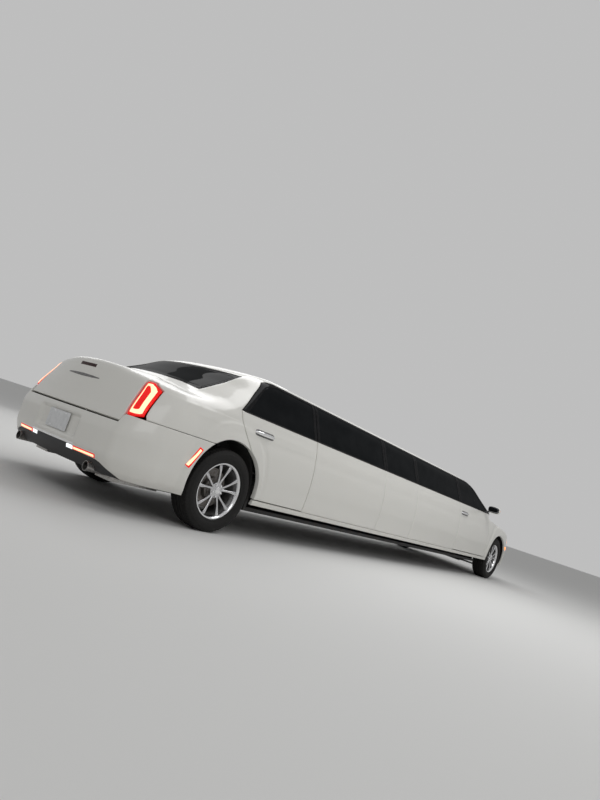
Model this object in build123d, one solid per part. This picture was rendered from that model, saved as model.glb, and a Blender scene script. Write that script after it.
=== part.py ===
from build123d import *
from collections import namedtuple
import os

# Stretch limousine, in millimetres. +X points to the nose, +Y to the left, +Z up. The origin lies on the ground,
# under the middle of the length. Places along the car are given from the rear axle or from the front axle.

# Overall sizes
base_wheelbase = 3052
stretch = 3900
rear_overhang = 1100
front_overhang = 892
body_width = 1902

wheelbase = base_wheelbase + stretch
length = rear_overhang + wheelbase + front_overhang
half_width = body_width / 2
tail = -length / 2
nose = length / 2
rear_axle = tail + rear_overhang
front_axle = rear_axle + wheelbase

# Heights
sill_bottom = 305
sill_top = 352
crease_z = 969
belt_z = 1061
rail_z = 1433
roof_z = 1502

# Walls and gaps
side_wall = 75
frame_wall = 40
sheet = 30
cover_wall = 40
lid_wall = 45
panel_gap = 8
frame_gap = 15
seat_gap = 0.3

# Wheels
tyre_radius = 355
tyre_width = 235
bead_radius = 229
flange_radius = 243
rim_width = 205
front_track = 1611
rear_track = 1620
arch_radius = 412
rear_arch_raise = 36
front_arch_raise = 5
spoke_pairs = 5
disc_radius = 172
kingpin_y = 680
spindle_radius = 30

# Doors: edges from the rear axle (rear pair) and from the front axle (front pair)
rear_door_front = 1158
front_door_rear = -1900
front_door_front = -575
first_panel = 1480
second_panel = 898
window_sill = 1080
window_top = 1408
window_post = 48
hinge_back = 34
hinge_depth = 12
hinge_heights = (500, 830)
hinge_pin = 5
lid_pin = 8

# Body outline at each height: how much narrower than the widest, how far in from the tail and from the nose at the
# centre line, and how far the end bows back (crown) before its corner of so much along and across.
Level = namedtuple("Level", "z narrow tail tail_crown tail_dx tail_dy front front_crown front_dx front_dy")
body_levels = [
    Level(250, 50, 55, 60, 330, 200, 90, 110, 360, 240),
    Level(sill_bottom, 20, 30, 60, 330, 200, 45, 110, 360, 240),
    Level(420, 6, 0, 60, 330, 200, 10, 115, 370, 245),
    Level(560, 0, 0, 60, 330, 200, 0, 120, 380, 250),
    Level(750, 11, 50, 75, 330, 190, 45, 130, 380, 250),
    Level(crease_z, 55, 88, 145, 300, 170, 150, 150, 380, 240),
    Level(belt_z, 91, 105, 165, 290, 165, 260, 160, 380, 240),
    Level(1140, 150, 120, 180, 290, 165, 360, 170, 380, 240),
]
# The glasshouse the same way: half width, and its ends from the rear and the front axle.
House = namedtuple("House", "z half tail tail_crown tail_dx tail_dy front front_crown front_dx front_dy")
house_levels = [
    House(1000, 880, -747, 155, 430, 215, -234, 112, 90, 110),
    House(belt_z, 862, -620, 150, 415, 200, -370, 110, 90, 110),
    House(1415, 680, 120, 100, 270, 90, -1160, 90, 120, 110),
    House(1466, 610, 370, 70, 260, 90, -1440, 70, 140, 110),
    House(1520, 400, 860, 40, 260, 90, -2000, 50, 160, 110),
]
# Top surfaces: height on the centre line at a place along the car, slope along it, radius across it
deck_z, deck_x, deck_slope, deck_radius = 1092, -800, 5.0, 4000
hood_z, hood_x, hood_slope, hood_radius = 1064, -350, -6.5, 4000
roof_radius = 4300


def side_prism(points, y_from, y_to):
    """An outline seen from the side, (x, z), carried across the car."""
    face = make_face(Polyline(*points, close=True))
    return extrude(Plane.XZ.offset(-y_to) * face, amount=y_to - y_from)


def end_prism(points, x_from, x_to):
    """An outline seen from the front or rear, (y, z), carried along the car."""
    face = make_face(Polyline(*points, close=True))
    return extrude(Plane.YZ.offset(x_from) * face, amount=x_to - x_from)


def block(x0, x1, y0, y1, z0, z1):
    """A box by its limits."""
    return Pos((x0 + x1) / 2, (y0 + y1) / 2, (z0 + z1) / 2) * Box(x1 - x0, y1 - y0, z1 - z0)


def bar_y(x, z, radius, y0, y1):
    """A round bar across the car."""
    return Pos(x, (y0 + y1) / 2, z) * Rot(90, 0, 0) * Cylinder(radius, abs(y1 - y0))


def bar_x(y, z, radius, x0, x1):
    """A round bar along the car."""
    return Pos((x0 + x1) / 2, y, z) * Rot(0, 90, 0) * Cylinder(radius, abs(x1 - x0))


def bar_z(x, y, radius, z0, z1):
    """An upright round bar."""
    return Pos(x, y, (z0 + z1) / 2) * Cylinder(radius, z1 - z0)


def both(shape):
    """A right-hand piece and its mirror image."""
    return [shape, mirror(shape, about=Plane.XZ)]


def plan_face(z, half, back, back_crown, back_dx, back_dy, front, front_crown, front_dx, front_dy):
    """The outline seen from above: a bowed end, a corner, a straight side, and the same at the front."""
    x1, x2 = back + back_crown, back + back_crown + back_dx
    x3, x4 = front - front_crown - front_dx, front - front_crown
    y1, y4 = half - back_dy, half - front_dy
    edges = [
        ThreePointArc((x1, y1), (back, 0), (x1, -y1)),
        TangentArc((x2, -half), (x1, -y1), tangent=(-1, 0)),
        Line((x2, -half), (x3, -half)),
        TangentArc((x3, -half), (x4, -y4), tangent=(1, 0)),
        ThreePointArc((x4, -y4), (front, 0), (x4, y4)),
        TangentArc((x3, half), (x4, y4), tangent=(1, 0)),
        Line((x3, half), (x2, half)),
        TangentArc((x2, half), (x1, y1), tangent=(-1, 0)),
    ]
    return Pos(0, 0, z) * make_face(edges)


def above_surface(x0, x1, z_at, x_at, slope, radius):
    """Everything over a surface that is bowed across the car and sloped along it."""
    drum = Pos(x_at, 0, z_at) * Rot(0, -slope, 0) * Pos(0, 0, -radius) * Rot(0, 90, 0) * Cylinder(radius, 9000)
    return block(x0, x1, -1200, 1200, 700, 1700) - drum


def lower_hull(inset):
    """The body below the windows, in from the skin by the inset."""
    drop = 20 if inset else 0
    faces = []
    for row in body_levels:
        bottom = drop if row is body_levels[0] else 0
        faces.append(plan_face(row.z - bottom, half_width - row.narrow - inset, tail + row.tail + inset,
                               row.tail_crown, row.tail_dx, row.tail_dy, nose - row.front - inset,
                               row.front_crown, row.front_dx, row.front_dy))
    hull = loft(faces, ruled=True)
    hull -= above_surface(tail - 50, rear_axle + 300, deck_z - inset, rear_axle + deck_x, deck_slope, deck_radius)
    hull -= above_surface(front_axle + front_door_front, nose + 50, hood_z - inset, front_axle + hood_x, hood_slope, hood_radius)
    return hull


def glass_house(inset):
    """The roof and windows, in from the skin by the inset, more along the car where the screens are raked."""
    faces = []
    for row in house_levels:
        faces.append(plan_face(row.z, row.half - inset, rear_axle + row.tail + 1.6 * inset,
                               row.tail_crown, row.tail_dx, row.tail_dy, front_axle + row.front - 1.6 * inset,
                               row.front_crown, row.front_dx, row.front_dy))
    house = loft(faces, ruled=True)
    return house - above_surface(tail, nose, roof_z - inset, 0, 0, roof_radius)


skin_lower = lower_hull(0)
skin_house = glass_house(0)
under_sheet = lower_hull(sheet)
under_cover = lower_hull(cover_wall)
skin = skin_lower + skin_house
inner = lower_hull(side_wall) + glass_house(frame_wall)

arches = [bar_y(rear_axle, tyre_radius + rear_arch_raise, arch_radius, -1200, 1200),
          bar_y(front_axle, tyre_radius + front_arch_raise, arch_radius, -1200, 1200)]


def from_rear(points):
    """Side outline given from the rear axle."""
    return [(rear_axle + x, z) for x, z in points]


def from_front(points):
    """Side outline given from the front axle."""
    return [(front_axle + x, z) for x, z in points]


# Door outlines seen from the side, as they close the body, and their windows
door_bottom = sill_top + panel_gap
door_top = rail_z - panel_gap
rear_door = from_rear([(250, door_bottom), (rear_door_front - panel_gap / 2, door_bottom),
                       (rear_door_front - panel_gap / 2, belt_z), (rear_door_front - frame_gap / 2, belt_z + 4),
                       (rear_door_front - frame_gap / 2, door_top), (480, door_top), (300, 1385),
                       (0, belt_z), (30, 960), (270, 660)])
rear_window = from_rear([(95, window_sill), (rear_door_front - frame_gap / 2 - window_post, window_sill),
                         (rear_door_front - frame_gap / 2 - window_post, window_top), (520, window_top),
                         (365, 1380)])
front_door = from_front([(front_door_rear + panel_gap / 2, door_bottom),
                         (front_door_front - panel_gap / 2, door_bottom),
                         (front_door_front - panel_gap / 2, belt_z), (-600, 1085), (-1260, 1390),
                         (-1380, door_top), (front_door_rear + frame_gap / 2, door_top),
                         (front_door_rear + frame_gap / 2, belt_z + 4), (front_door_rear + panel_gap / 2, belt_z)])
front_window = from_front([(front_door_rear + frame_gap / 2 + window_post, window_sill), (-690, window_sill),
                           (-1300, 1362), (-1398, window_top),
                           (front_door_rear + frame_gap / 2 + window_post, window_top)])
# What the quarter panel and the windscreen pillar leave for the doors
quarter_side = from_rear([(-1200, 730), (202, 730), (18, 960), (-12, belt_z), (-20, belt_z + 4), (282, 1398),
                          (462, rail_z), (-1200, rail_z)])
pillar_side = from_front([(front_door_front + panel_gap / 2, belt_z), (-583, 1096), (-1250, 1404),
                          (-1360, rail_z), (-352, rail_z), (-352, belt_z)])

# Screens and boot lid seen from behind
rear_screen_zone = [(-665, 1100), (665, 1100), (600, 1378), (-600, 1378)]
header_half = 590
windscreen_zone = [(-752, 1068), (752, 1068), (622, 1398), (-622, 1398)]
lamp_zone = [(655, 1018), (700, 1022), (792, 972), (830, 745), (775, 730), (712, 730)]
lid_front = -585
lid_rim, lid_step_y = 14, 620
lid_zone = [(y * s, z) for s, rows in ((-1, [(647, 1250), (647, 1018), (704, 728), (704, 662)]),
                                       (1, [(704, 662), (704, 728), (647, 1018), (647, 1250)]))
            for y, z in rows]
lid_opening = [(y * s, z) for s, rows in ((-1, [(655, 1260), (655, 1018), (712, 730), (712, 655)]),
                                          (1, [(712, 655), (712, 730), (655, 1018), (655, 1260)]))
               for y, z in rows]


def shell(region):
    """The full wall of the body inside a region."""
    return (skin & region) - inner


def pane(region, depth=8, thickness=6):
    """A glass pane of the glasshouse inside a region."""
    return (glass_house(depth) & region) - glass_house(depth + thickness)


def door_hinge(x, foot_y):
    """Right-hand gooseneck hinges on an axis: arms for the pillar, and the notches and bores in the door."""
    arms, cuts = Part(), Part()
    y = -(half_width - hinge_depth)
    inner_y = -(half_width - side_wall)
    foot_x = x + hinge_back + panel_gap
    for z in hinge_heights:
        arms += bar_z(x, y, hinge_pin, z - 35, z + 35)
        arms += block(x - 2, x + hinge_pin, y, inner_y + 10, z - 12, z + 12)
        arms += block(x - 2, foot_x + 30, inner_y + 2, inner_y + 10, z - 12, z + 12)
        arms += block(foot_x, foot_x + 30, inner_y + 2, foot_y, z - 12, z + 12)
        cuts += block(x - 14, x + hinge_back + 1, y - 6, inner_y + 40, z - 22, z + 22)
        cuts += bar_z(x, y, hinge_pin + seat_gap, z - 36, z + 36)
    return arms, cuts


def swan_neck(pivot, y, reach, turn, top):
    """A lid's curved arm: an eye on the pivot, a leg down, and a bend round to the lid on the side of turn."""
    x, z = pivot
    bend = bar_y(x, z, reach + 10, y - 12, y + 12) - bar_y(x, z, reach - 10, y - 15, y + 15)
    ends = sorted((x, x + turn * (reach + 20)))
    arm = bend & block(ends[0], ends[1], y - 20, y + 20, z - reach - 20, z)
    arm += block(x - 10, x + 10, y - 12, y + 12, z - reach - 5, z)
    arm += bar_y(x, z, 18, y - 12, y + 12)
    ends = sorted((x + turn * (reach - 10), x + turn * (reach + 10)))
    arm += block(ends[0], ends[1], y - 12, y + 12, z - 1, top)
    return arm - bar_y(x, z, lid_pin + seat_gap, y - 13, y + 13)


def handle(x, z):
    """A right-hand pull handle on two posts."""
    y = -(half_width - 48)
    bar = block(x, x + 250, y - 34, y - 20, z - 15, z + 15)
    posts = [block(px, px + 28, y - 24, y + 12, z - 11, z + 11) for px in (x + 8, x + 214)]
    return fillet(bar.edges().filter_by(Axis.X), 5) + posts


rear_hinge_x = rear_axle + rear_door_front - panel_gap / 2 - hinge_back
front_hinge_x = front_axle + front_door_front - panel_gap / 2 - hinge_back
rear_arms, rear_cuts = door_hinge(rear_hinge_x, -850)
front_arms, front_cuts = door_hinge(front_hinge_x, -838)

parts = {}


def add_pair(name, shape):
    """Store a right-hand piece and its left-hand mirror image."""
    parts[name + "_right"], parts[name + "_left"] = both(shape)


# Doors and their glass
rear_panel = shell(side_prism(rear_door, -1200, -600)) - side_prism(rear_window, -1200, 0) - arches - rear_cuts
rear_panel += handle(rear_axle + 205, 935)
add_pair("door_rear", rear_panel)
add_pair("glass_rear", pane(side_prism(rear_window, -1200, 0)))

mirror_x = front_axle - 800
mirror_head = fillet(block(mirror_x - 60, mirror_x + 50, -1105, -905, 1085, 1205).edges().filter_by(Axis.Y), 35)
mirror_foot = block(mirror_x - 25, mirror_x + 30, -935, -850, 1050, 1100)
front_panel = shell(side_prism(front_door, -1200, -600)) - side_prism(front_window, -1200, 0) - arches - front_cuts
front_panel += [handle(front_axle + front_door_rear + 60, 925), mirror_head, mirror_foot - inner]
add_pair("door_front", front_panel)
add_pair("glass_front", pane(side_prism(front_window, -1200, 0)))

# Fixed stretch panels, split where the welded seams show, each with one window
seams = [rear_axle + rear_door_front]
seams.append(seams[0] + first_panel)
seams.append(seams[1] + second_panel)
seams.append(front_axle + front_door_rear)
stretch_walls, stretch_panes = [], []
for start, stop in zip(seams, seams[1:]):
    lower = block(start + panel_gap / 2, stop - panel_gap / 2, -1200, -600, sill_top, belt_z)
    upper = block(start + frame_gap / 2, stop - frame_gap / 2, -1200, -600, belt_z, rail_z)
    opening = block(start + frame_gap / 2 + window_post, stop - frame_gap / 2 - window_post, -1200, 0,
                    window_sill, window_top)
    stretch_walls.append(shell(lower + upper) - opening)
    stretch_panes.append(pane(opening))
add_pair("stretch_panel", Compound(stretch_walls))

# Quarter panels with the rear pillars
lamp_right = end_prism([(-y, z) for y, z in lamp_zone], tail - 50, rear_axle - 500)
quarter = shell(side_prism(quarter_side, -1200, 0)) - end_prism(lid_opening, tail - 50, rear_axle + lid_front + 12)
quarter = quarter - end_prism(rear_screen_zone, tail, rear_axle + 500) - lamp_right - arches
quarter -= block(tail - 50, rear_axle + 500, -655, 0, 600, 1100)
quarter -= block(rear_axle - 700, rear_axle + 700, -header_half, 0, 1000, rail_z)
add_pair("quarter_panel", quarter)

# Roof with the screen headers and the windscreen pillars
roof_zone = block(tail, nose, -1000, 1000, rail_z, 1600)
roof_zone += block(rear_axle - 700, rear_axle + 700, -header_half, header_half, 1378, rail_z)
roof_zone += [side_prism(pillar_side, -1200, 1200)]
roof = shell(roof_zone) - end_prism(windscreen_zone, front_axle - 2000, nose)
shelf_lip = (skin & block(rear_axle + lid_front + 12, rear_axle + 100, -655, 655, 1000, 1100)) - under_sheet
shelf_lip -= glass_house(frame_wall)
parts["roof_shell"] = roof
parts["rear_deck_trim"] = shelf_lip

# Fixed glass
parts["windscreen"] = pane(end_prism(windscreen_zone, front_axle - 1700, front_axle + 100))
rear_screen = pane(end_prism(rear_screen_zone, rear_axle - 700, rear_axle + 700))
parts["fixed_glass"] = Compound([rear_screen] + [p for s in stretch_panes for p in both(s)])

# Sills
sill = skin_lower & block(rear_axle + 200, front_axle - 200, -1200, -800, sill_bottom, sill_top)
parts["sills"] = Compound(both(sill - arches))

# Front end
lamp_front_x = front_axle + 480
head_zone = [(450, 805), (450, 700), (560, 650), (900, 668), (900, 812)]
grille_zone = [(-365, 800), (-325, 450), (325, 450), (365, 800)]
bonnet_back = front_axle - 330
bonnet_bottom = 832
bonnet_half = 720
bonnet_gap = 22
head_lamp = end_prism([(-y, z) for y, z in head_zone], lamp_front_x, nose + 50)
fender_zone = side_prism(from_front([(front_door_front + panel_gap / 2, sill_top), (0, sill_top), (0, 628),
                                     (480, 628), (480, 1300), (-322, 1300), (-322, belt_z),
                                     (front_door_front + panel_gap / 2, belt_z)]), -1200, -bonnet_half - panel_gap)
fender = (skin_lower & fender_zone) - under_sheet - arches - head_lamp
add_pair("fender", fender)
bonnet_zone = side_prism([(bonnet_back, 1300), (bonnet_back, 800), (front_axle + 600, 800),
                          (front_axle + 600, bonnet_bottom), (nose + 50, bonnet_bottom), (nose + 50, 1300)],
                         -bonnet_half, bonnet_half)
bonnet = (skin_lower & bonnet_zone) - under_sheet
bumper_front = (skin_lower & block(front_axle, nose + 50, -1200, 1200, 250, bonnet_bottom - panel_gap))
bumper_front = bumper_front - under_cover - arches - both(fender_zone) - both(head_lamp)
bumper_front -= block(front_axle, lamp_front_x, -1200, 1200, 628, 1000)
bumper_front -= end_prism(grille_zone, front_axle, nose + 50)
parts["bumper_front"] = bumper_front
# Head lamps, each with two round projectors sunk in its face
head_block = (skin_lower & head_lamp) - lower_hull(cover_wall + 20)
for y, z in ((-600, 745), (-735, 742)):
    well = bar_x(y, z, 50, lamp_front_x, nose + 50) - bar_x(y, z, 38, lamp_front_x - 10, nose + 60)
    head_block -= well - lower_hull(18)
parts["headlamps"] = Compound(both(head_block))

grille_inner = [(-340, 778), (-302, 472), (302, 472), (340, 778)]
frame = (skin_lower & end_prism(grille_zone, front_axle + 500, nose + 50)) - lower_hull(50)
frame -= end_prism(grille_inner, front_axle, nose + 50)
grille_bars = [block(front_axle + 500, nose + 50, -345, 345, z, z + 12) for z in range(506, 770, 34)]
grille_posts = [block(front_axle + 500, nose + 50, y - 5, y + 5, 465, 785) for y in range(-270, 271, 60)]
mesh_sheet = (lower_hull(14) & end_prism(grille_zone, front_axle + 500, nose + 50)) - lower_hull(28)
grid = Part() + grille_bars + grille_posts
parts["grille"] = frame + (grid & mesh_sheet)

cowl_zone = block(front_axle + front_door_front + panel_gap / 2, bonnet_back - bonnet_gap, -bonnet_half - panel_gap,
                  bonnet_half + panel_gap, 980, belt_z)
parts["cowl"] = (skin_lower & cowl_zone) - under_sheet

# Rear end
tip_y, tip_z, tip_radius = 560, 268, 38
plate_z, recess_depth = 515, 30
plate_hole, plate_hole_y, plate_hole_z = 3.5, 89, 60.5
bumper_zone = block(tail - 50, rear_axle - 250, -1200, 1200, 331, 722)
bumper_rear = (skin_lower & bumper_zone) - under_cover - end_prism(lid_opening, tail - 50, rear_axle - 300) - arches
recess = Pos(tail, 0, plate_z) * Box(2 * recess_depth, 600, 172)
bumper_rear -= recess & skin_lower
valance = (skin_lower & block(tail - 50, rear_axle - 440, -1200, 1200, 250, 331)) - under_cover
valance -= both(bar_x(-tip_y, tip_z, tip_radius + 10, tail - 50, rear_axle - 440))
parts["valance_rear"] = valance
# Tail lamps with the groove of the light loop round their faces
loop_outer = [(668, 1002), (702, 1006), (776, 960), (812, 757), (772, 746), (724, 746)]
loop_inner = [(686, 984), (702, 988), (758, 950), (793, 772), (770, 762), (738, 762)]
loop = end_prism([(-y, z) for y, z in loop_outer], tail - 50, rear_axle - 500)
loop -= end_prism([(-y, z) for y, z in loop_inner], tail - 60, rear_axle - 400)
tail_lamp = (skin_lower & lamp_right) - lower_hull(lid_wall)
tail_lamp -= loop - lower_hull(8)
parts["tail_lamps"] = Compound(both(tail_lamp))
lid = skin_lower & end_prism(lid_zone, tail - 50, rear_axle + lid_front)
lid = lid - lower_hull(lid_wall) - glass_house(-15)
lid -= both(lower_hull(lid_rim) & block(tail - 50, rear_axle, -720, -lid_step_y, 600, 1300))

# Lid and bonnet hinges: swan necks whose pivots lie behind the gap that each edge opens
lid_pivot = (rear_axle + lid_front + 180, 1000)
bonnet_pivot = (bonnet_back - 120, 985)
lid_arm_y, bonnet_arm_y = 562, 350
parts["lid_arms"] = Compound(both(swan_neck(lid_pivot, -lid_arm_y, 225, -1, 1040) - lid))
parts["bonnet_arms"] = Compound(both(swan_neck(bonnet_pivot, -bonnet_arm_y, 150, 1, 1025) - bonnet))
parts["boot_lid"] = lid
parts["bonnet"] = bonnet

# Floor pan: floor, tunnel, boot floor, bulkheads, parcel shelf, hinge pillars and the pivots of bonnet and boot lid
floor_z = 230
floor_top = 265
tunnel_half, tunnel_top = 140, 395
boot_z = 470
cabin_back = rear_axle + 470
firewall = front_axle - 590
plate = 30
rail_low, rail_high, rail_inner, rail_outer = 430, 520, 340, 436
pillar_x = front_axle + front_door_front + panel_gap / 2
shelf_z = 985
floor = block(cabin_back, firewall + plate, -800, 800, floor_z, floor_top)
floor += block(cabin_back, firewall + plate, -tunnel_half, tunnel_half, floor_z, tunnel_top)
floor += block(cabin_back, cabin_back + plate, -800, 800, floor_z, boot_z + plate)
floor += block(tail + 130, cabin_back + plate, -600, 600, boot_z, boot_z + plate)
floor += block(firewall, firewall + plate, -770, 770, floor_z, 970)
floor += block(rear_axle + 60, rear_axle + 90, -640, 640, boot_z, 1000)
floor += block(rear_axle + lid_front + 60, rear_axle + 90, -520, 520, shelf_z, 1000)
floor -= block(cabin_back - 1, firewall + plate + 1, -tunnel_half + plate, tunnel_half - plate, floor_z - 1,
               tunnel_top - plate)
hinge_pillar = block(pillar_x, pillar_x + 76, -840, -760, sill_top, 960)
for s in (-1, 1):
    pivots = [hinge_pillar, bar_y(lid_pivot[0], lid_pivot[1], lid_pin, -lid_arm_y - 14, -510),
              bar_y(bonnet_pivot[0], bonnet_pivot[1], lid_pin, -bonnet_arm_y - 14, -bonnet_arm_y + 50),
              block(lid_pivot[0] - 10, lid_pivot[0] + 10, -520, -500, shelf_z, lid_pivot[1] + 10),
              block(bonnet_pivot[0] - 10, bonnet_pivot[0] + 10, -bonnet_arm_y + 20, -bonnet_arm_y + 50, 960,
                    bonnet_pivot[1] + 10),
              block(firewall, bonnet_pivot[0] + 10, -bonnet_arm_y + 20, -bonnet_arm_y + 50, 960, 980)]
    floor += [piece if s < 0 else mirror(piece, about=Plane.XZ) for piece in pivots]
floor += lower_hull(cover_wall + seat_gap) & block(tail, tail + 160, -600, 600, boot_z, boot_z + 60)
parts["floor_pan"] = floor

# Front rails with the crash bar, and the four wheelhouses
rails = (lower_hull(cover_wall + 15) & block(nose - 260, nose, -620, 620, rail_low, rail_high)) - lower_hull(cover_wall + 90)
rails += both(block(firewall + plate, nose - 170, -rail_outer, -rail_inner, rail_low, rail_high))
parts["front_rails"] = rails
house_gap, house_wall = 18, 15
rear_house = bar_y(rear_axle, tyre_radius + rear_arch_raise, arch_radius + house_gap + house_wall, -838, -590)
rear_house -= bar_y(rear_axle, tyre_radius + rear_arch_raise, arch_radius + house_gap, -850, -600)
front_house = bar_y(front_axle, tyre_radius + front_arch_raise, arch_radius + 70, -850, -420)
front_house -= bar_y(front_axle, tyre_radius + front_arch_raise, arch_radius + 70 - house_wall, -860, -435)
rear_house = (rear_house & block(tail, nose, -900, 0, tyre_radius + 30, 1200)) - floor
front_house = (front_house & block(tail, nose, -900, 0, tyre_radius + 60, 1200)) - rails - floor
parts["wheelhouses"] = Compound(both(rear_house) + both(front_house))

# Door hinge arms, standing on the first stretch panels and on the hinge pillars
hinge_feet = rear_arms - stretch_walls[0] - block(rear_hinge_x + 50, rear_hinge_x + 90, -875, -849, 700, 900)
parts["door_hinges"] = Compound(both(hinge_feet) + both(front_arms - hinge_pillar))

# Bumper cover with the plate pad and its two rows of holes
pad = Pos(tail + recess_depth - 4, 0, plate_z)
bumper_rear += pad * Box(12, 330, 160)
for y in (-plate_hole_y, plate_hole_y):
    for z in (-plate_hole_z, plate_hole_z):
        bumper_rear -= pad * Pos(0, y, z) * Rot(0, 90, 0) * Cylinder(plate_hole, 80)
parts["bumper_rear"] = bumper_rear

# Wheels
bead_y = rim_width / 2 - 16 - seat_gap
tyre_profile = [(bead_radius, -bead_y), (flange_radius - 1.5, -bead_y), (flange_radius, -bead_y - 14),
                (255, -tyre_width * 0.47), (295, -tyre_width * 0.5), (335, -tyre_width * 0.45), (tyre_radius - 4, -tyre_width * 0.38),
                (tyre_radius, -tyre_width * 0.25)]


def ring(points):
    """A turned piece about the wheel's axle, from (radius, y) points."""
    return revolve(make_face(Polyline(*points, close=True)), Axis.Y)


def make_tyre():
    """A tyre on the origin, its cavity open to the rim."""
    outer = tyre_profile + [(r, -y) for r, y in reversed(tyre_profile)]
    cavity = [(bead_radius - 5, -bead_y + 14), (bead_radius + 20, -bead_y + 8), (290, -104), (330, -90), (338, -60)]
    cavity += [(r, -y) for r, y in reversed(cavity)]
    return ring(outer) - ring(cavity)


def make_rim():
    """A right-hand wheel on the origin, its face to -Y: barrel, ten spokes in pairs, hub and brake disc."""
    w = rim_width / 2
    barrel = ring([(bead_radius - 12, -w + 4), (flange_radius - 2, -w + 4), (flange_radius - 2, -w + 16),
                   (bead_radius - seat_gap, -w + 16), (bead_radius - seat_gap, -w + 42), (bead_radius - 16, -w + 60),
                   (bead_radius - 16, w - 40), (bead_radius - seat_gap, w - 24), (bead_radius - seat_gap, w - 16),
                   (flange_radius - 2, w - 16), (flange_radius - 2, w - 4), (bead_radius - 14, w - 4),
                   (bead_radius - 24, w - 42), (bead_radius - 24, -w + 62), (bead_radius - 14, -w + 40)])
    dish = ring([(40, -w + 34), (95, -w + 26), (bead_radius - 8, -w + 8), (bead_radius - 8, -w + 30),
                 (95, -w + 62), (40, -w + 62)])
    arms = Part()
    for k in range(spoke_pairs):
        for lean in (-10.5, 10.5):
            arm = Rot(0, k * 360 / spoke_pairs + lean, 0) * block(50, bead_radius, -w, w, -9, 9)
            arms += arm
    hub = ring([(0, -w + 30), (52, -w + 28), (72, -w + 36), (72, 10), (spindle_radius + seat_gap, 10),
                (spindle_radius + seat_gap, -20), (0, -20)])
    disc = ring([(70, -20), (100, -20), (100, 30), (disc_radius, 30), (disc_radius, 58), (88, 58), (88, 2), (70, 2)])
    return barrel + (dish & arms) + hub + disc


tyre = make_tyre()
rim = make_rim()
wheel_places = [("front", front_axle, front_track / 2), ("rear", rear_axle, rear_track / 2)]
for end, x, y in wheel_places:
    place = Pos(x, -y, tyre_radius)
    add_pair("tyre_" + end, place * tyre)
    add_pair("wheel_" + end, place * rim)


def knuckle(x, y):
    """A right-hand hub carrier: spindle, upright and caliper over the disc."""
    z = tyre_radius
    inboard = -kingpin_y + 45
    body = bar_y(x, z, spindle_radius, -y - 18, inboard - 10)
    body += block(x - 45, x + 45, inboard - 60, inboard - 10, z - 165, z + 130)
    caliper = bar_y(x, z, disc_radius + 24, -y + 10, -y + 76) - bar_y(x, z, 110, -y - 50, -y + 100)
    caliper = caliper & block(x - 260, x - 90, -y, -y + 90, z - 80, z + 90)
    caliper -= bar_y(x, z, disc_radius + 6, -y + 24, -y + 64)
    body += caliper
    body += block(x - 150, x - 30, -y + 66, inboard - 10, z - 30, z + 40)
    return body


front_knuckle = knuckle(front_axle, front_track / 2)
rear_knuckle = knuckle(rear_axle, rear_track / 2)
kingpin = bar_z(front_axle, -kingpin_y, 14, tyre_radius - 215, tyre_radius - 160)
add_pair("knuckle_front", front_knuckle + kingpin)
parts["knuckles_rear"] = Compound(both(rear_knuckle))

# Subframes with the lower arms, the eyes under the kingpins at the front
arm_z = tyre_radius - 190
front_frame = block(front_axle - 220, front_axle + 120, -345, 345, arm_z - 20, arm_z + 20)
rear_frame = block(rear_axle - 200, rear_axle - 140, -430, 430, 232, 262)
rear_frame += block(rear_axle + 140, rear_axle + 200, -430, 430, 232, 262)
for s in (-1, 1):
    arm = make_face(Polyline((-150, s * 300), (110, s * 300), (28, s * kingpin_y), (-28, s * kingpin_y), close=True))
    arm = extrude(Pos(front_axle, 0, arm_z - 10) * arm, amount=20)
    arm += bar_z(front_axle, s * kingpin_y, 28, arm_z - 12, arm_z + 12)
    front_frame += arm
    front_frame -= bar_z(front_axle, s * kingpin_y, 14 + seat_gap, arm_z - 40, arm_z + 40)
    low, high = sorted((s * 340, s * (420 - seat_gap)))
    front_frame += block(front_axle - 220, front_axle - 150, low, high, arm_z - 20, 430)
    low, high = sorted((s * 380, s * 430))
    rear_frame += block(rear_axle - 200, rear_axle + 200, low, high, 232, 262)
    rear_frame += block(rear_axle - 200, rear_axle - 150, low, high, 232, boot_z)
    low, high = sorted((s * 420, s * (kingpin_y - 35 - seat_gap)))
    rear_frame += block(rear_axle - 40, rear_axle + 40, low, high, 232, 262)
parts["subframes"] = Compound([front_frame, rear_frame])

# Engine, driveline, exhaust and tank
parts["engine"] = block(front_axle - 420, front_axle + 240, -300, 300, arm_z + 20, 780)
shaft_z = 300
driveline = block(front_axle - 1200, front_axle - 420, -95, 95, 200, 350)
driveline += bar_x(0, shaft_z, 32, rear_axle + 130, front_axle - 1200)
driveline += bar_x(0, tyre_radius, 108, rear_axle - 120, rear_axle + 135)
driveline += bar_y(rear_axle, tyre_radius, 24, -635, 635)
parts["driveline"] = driveline
pipes = []
for s in (-1, 1):
    tip = bar_x(s * tip_y, tip_z, tip_radius, tail + 40, tail + 260)
    tip -= bar_x(s * tip_y, tip_z, tip_radius - 4, tail + 30, tail + 200)
    low, high = sorted((s * 400, s * 600))
    box = block(rear_axle - 850, rear_axle - 380, low, high, 200, 330)
    tip += box
    tip += bar_x(s * 300, 200, 28, rear_axle - 500, front_axle - 600)
    low, high = sorted((s * 280, s * 420))
    tip += block(rear_axle - 560, rear_axle - 480, low, high, 180, 240)
    tip += block(rear_axle - 700, rear_axle - 640, low + s * 120, high + s * 120, 330, boot_z)
    pipes.append(tip)
parts["exhaust"] = Compound(pipes)
tank = block(rear_axle + 220, rear_axle + 440, -380, 380, 262, boot_z)
parts["fuel_tank"] = tank - block(rear_axle, rear_axle + 500, -50, 50, 200, 350)

# Cabin
seat_base = floor_top + seat_gap
bench_base = tunnel_top + seat_gap


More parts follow.
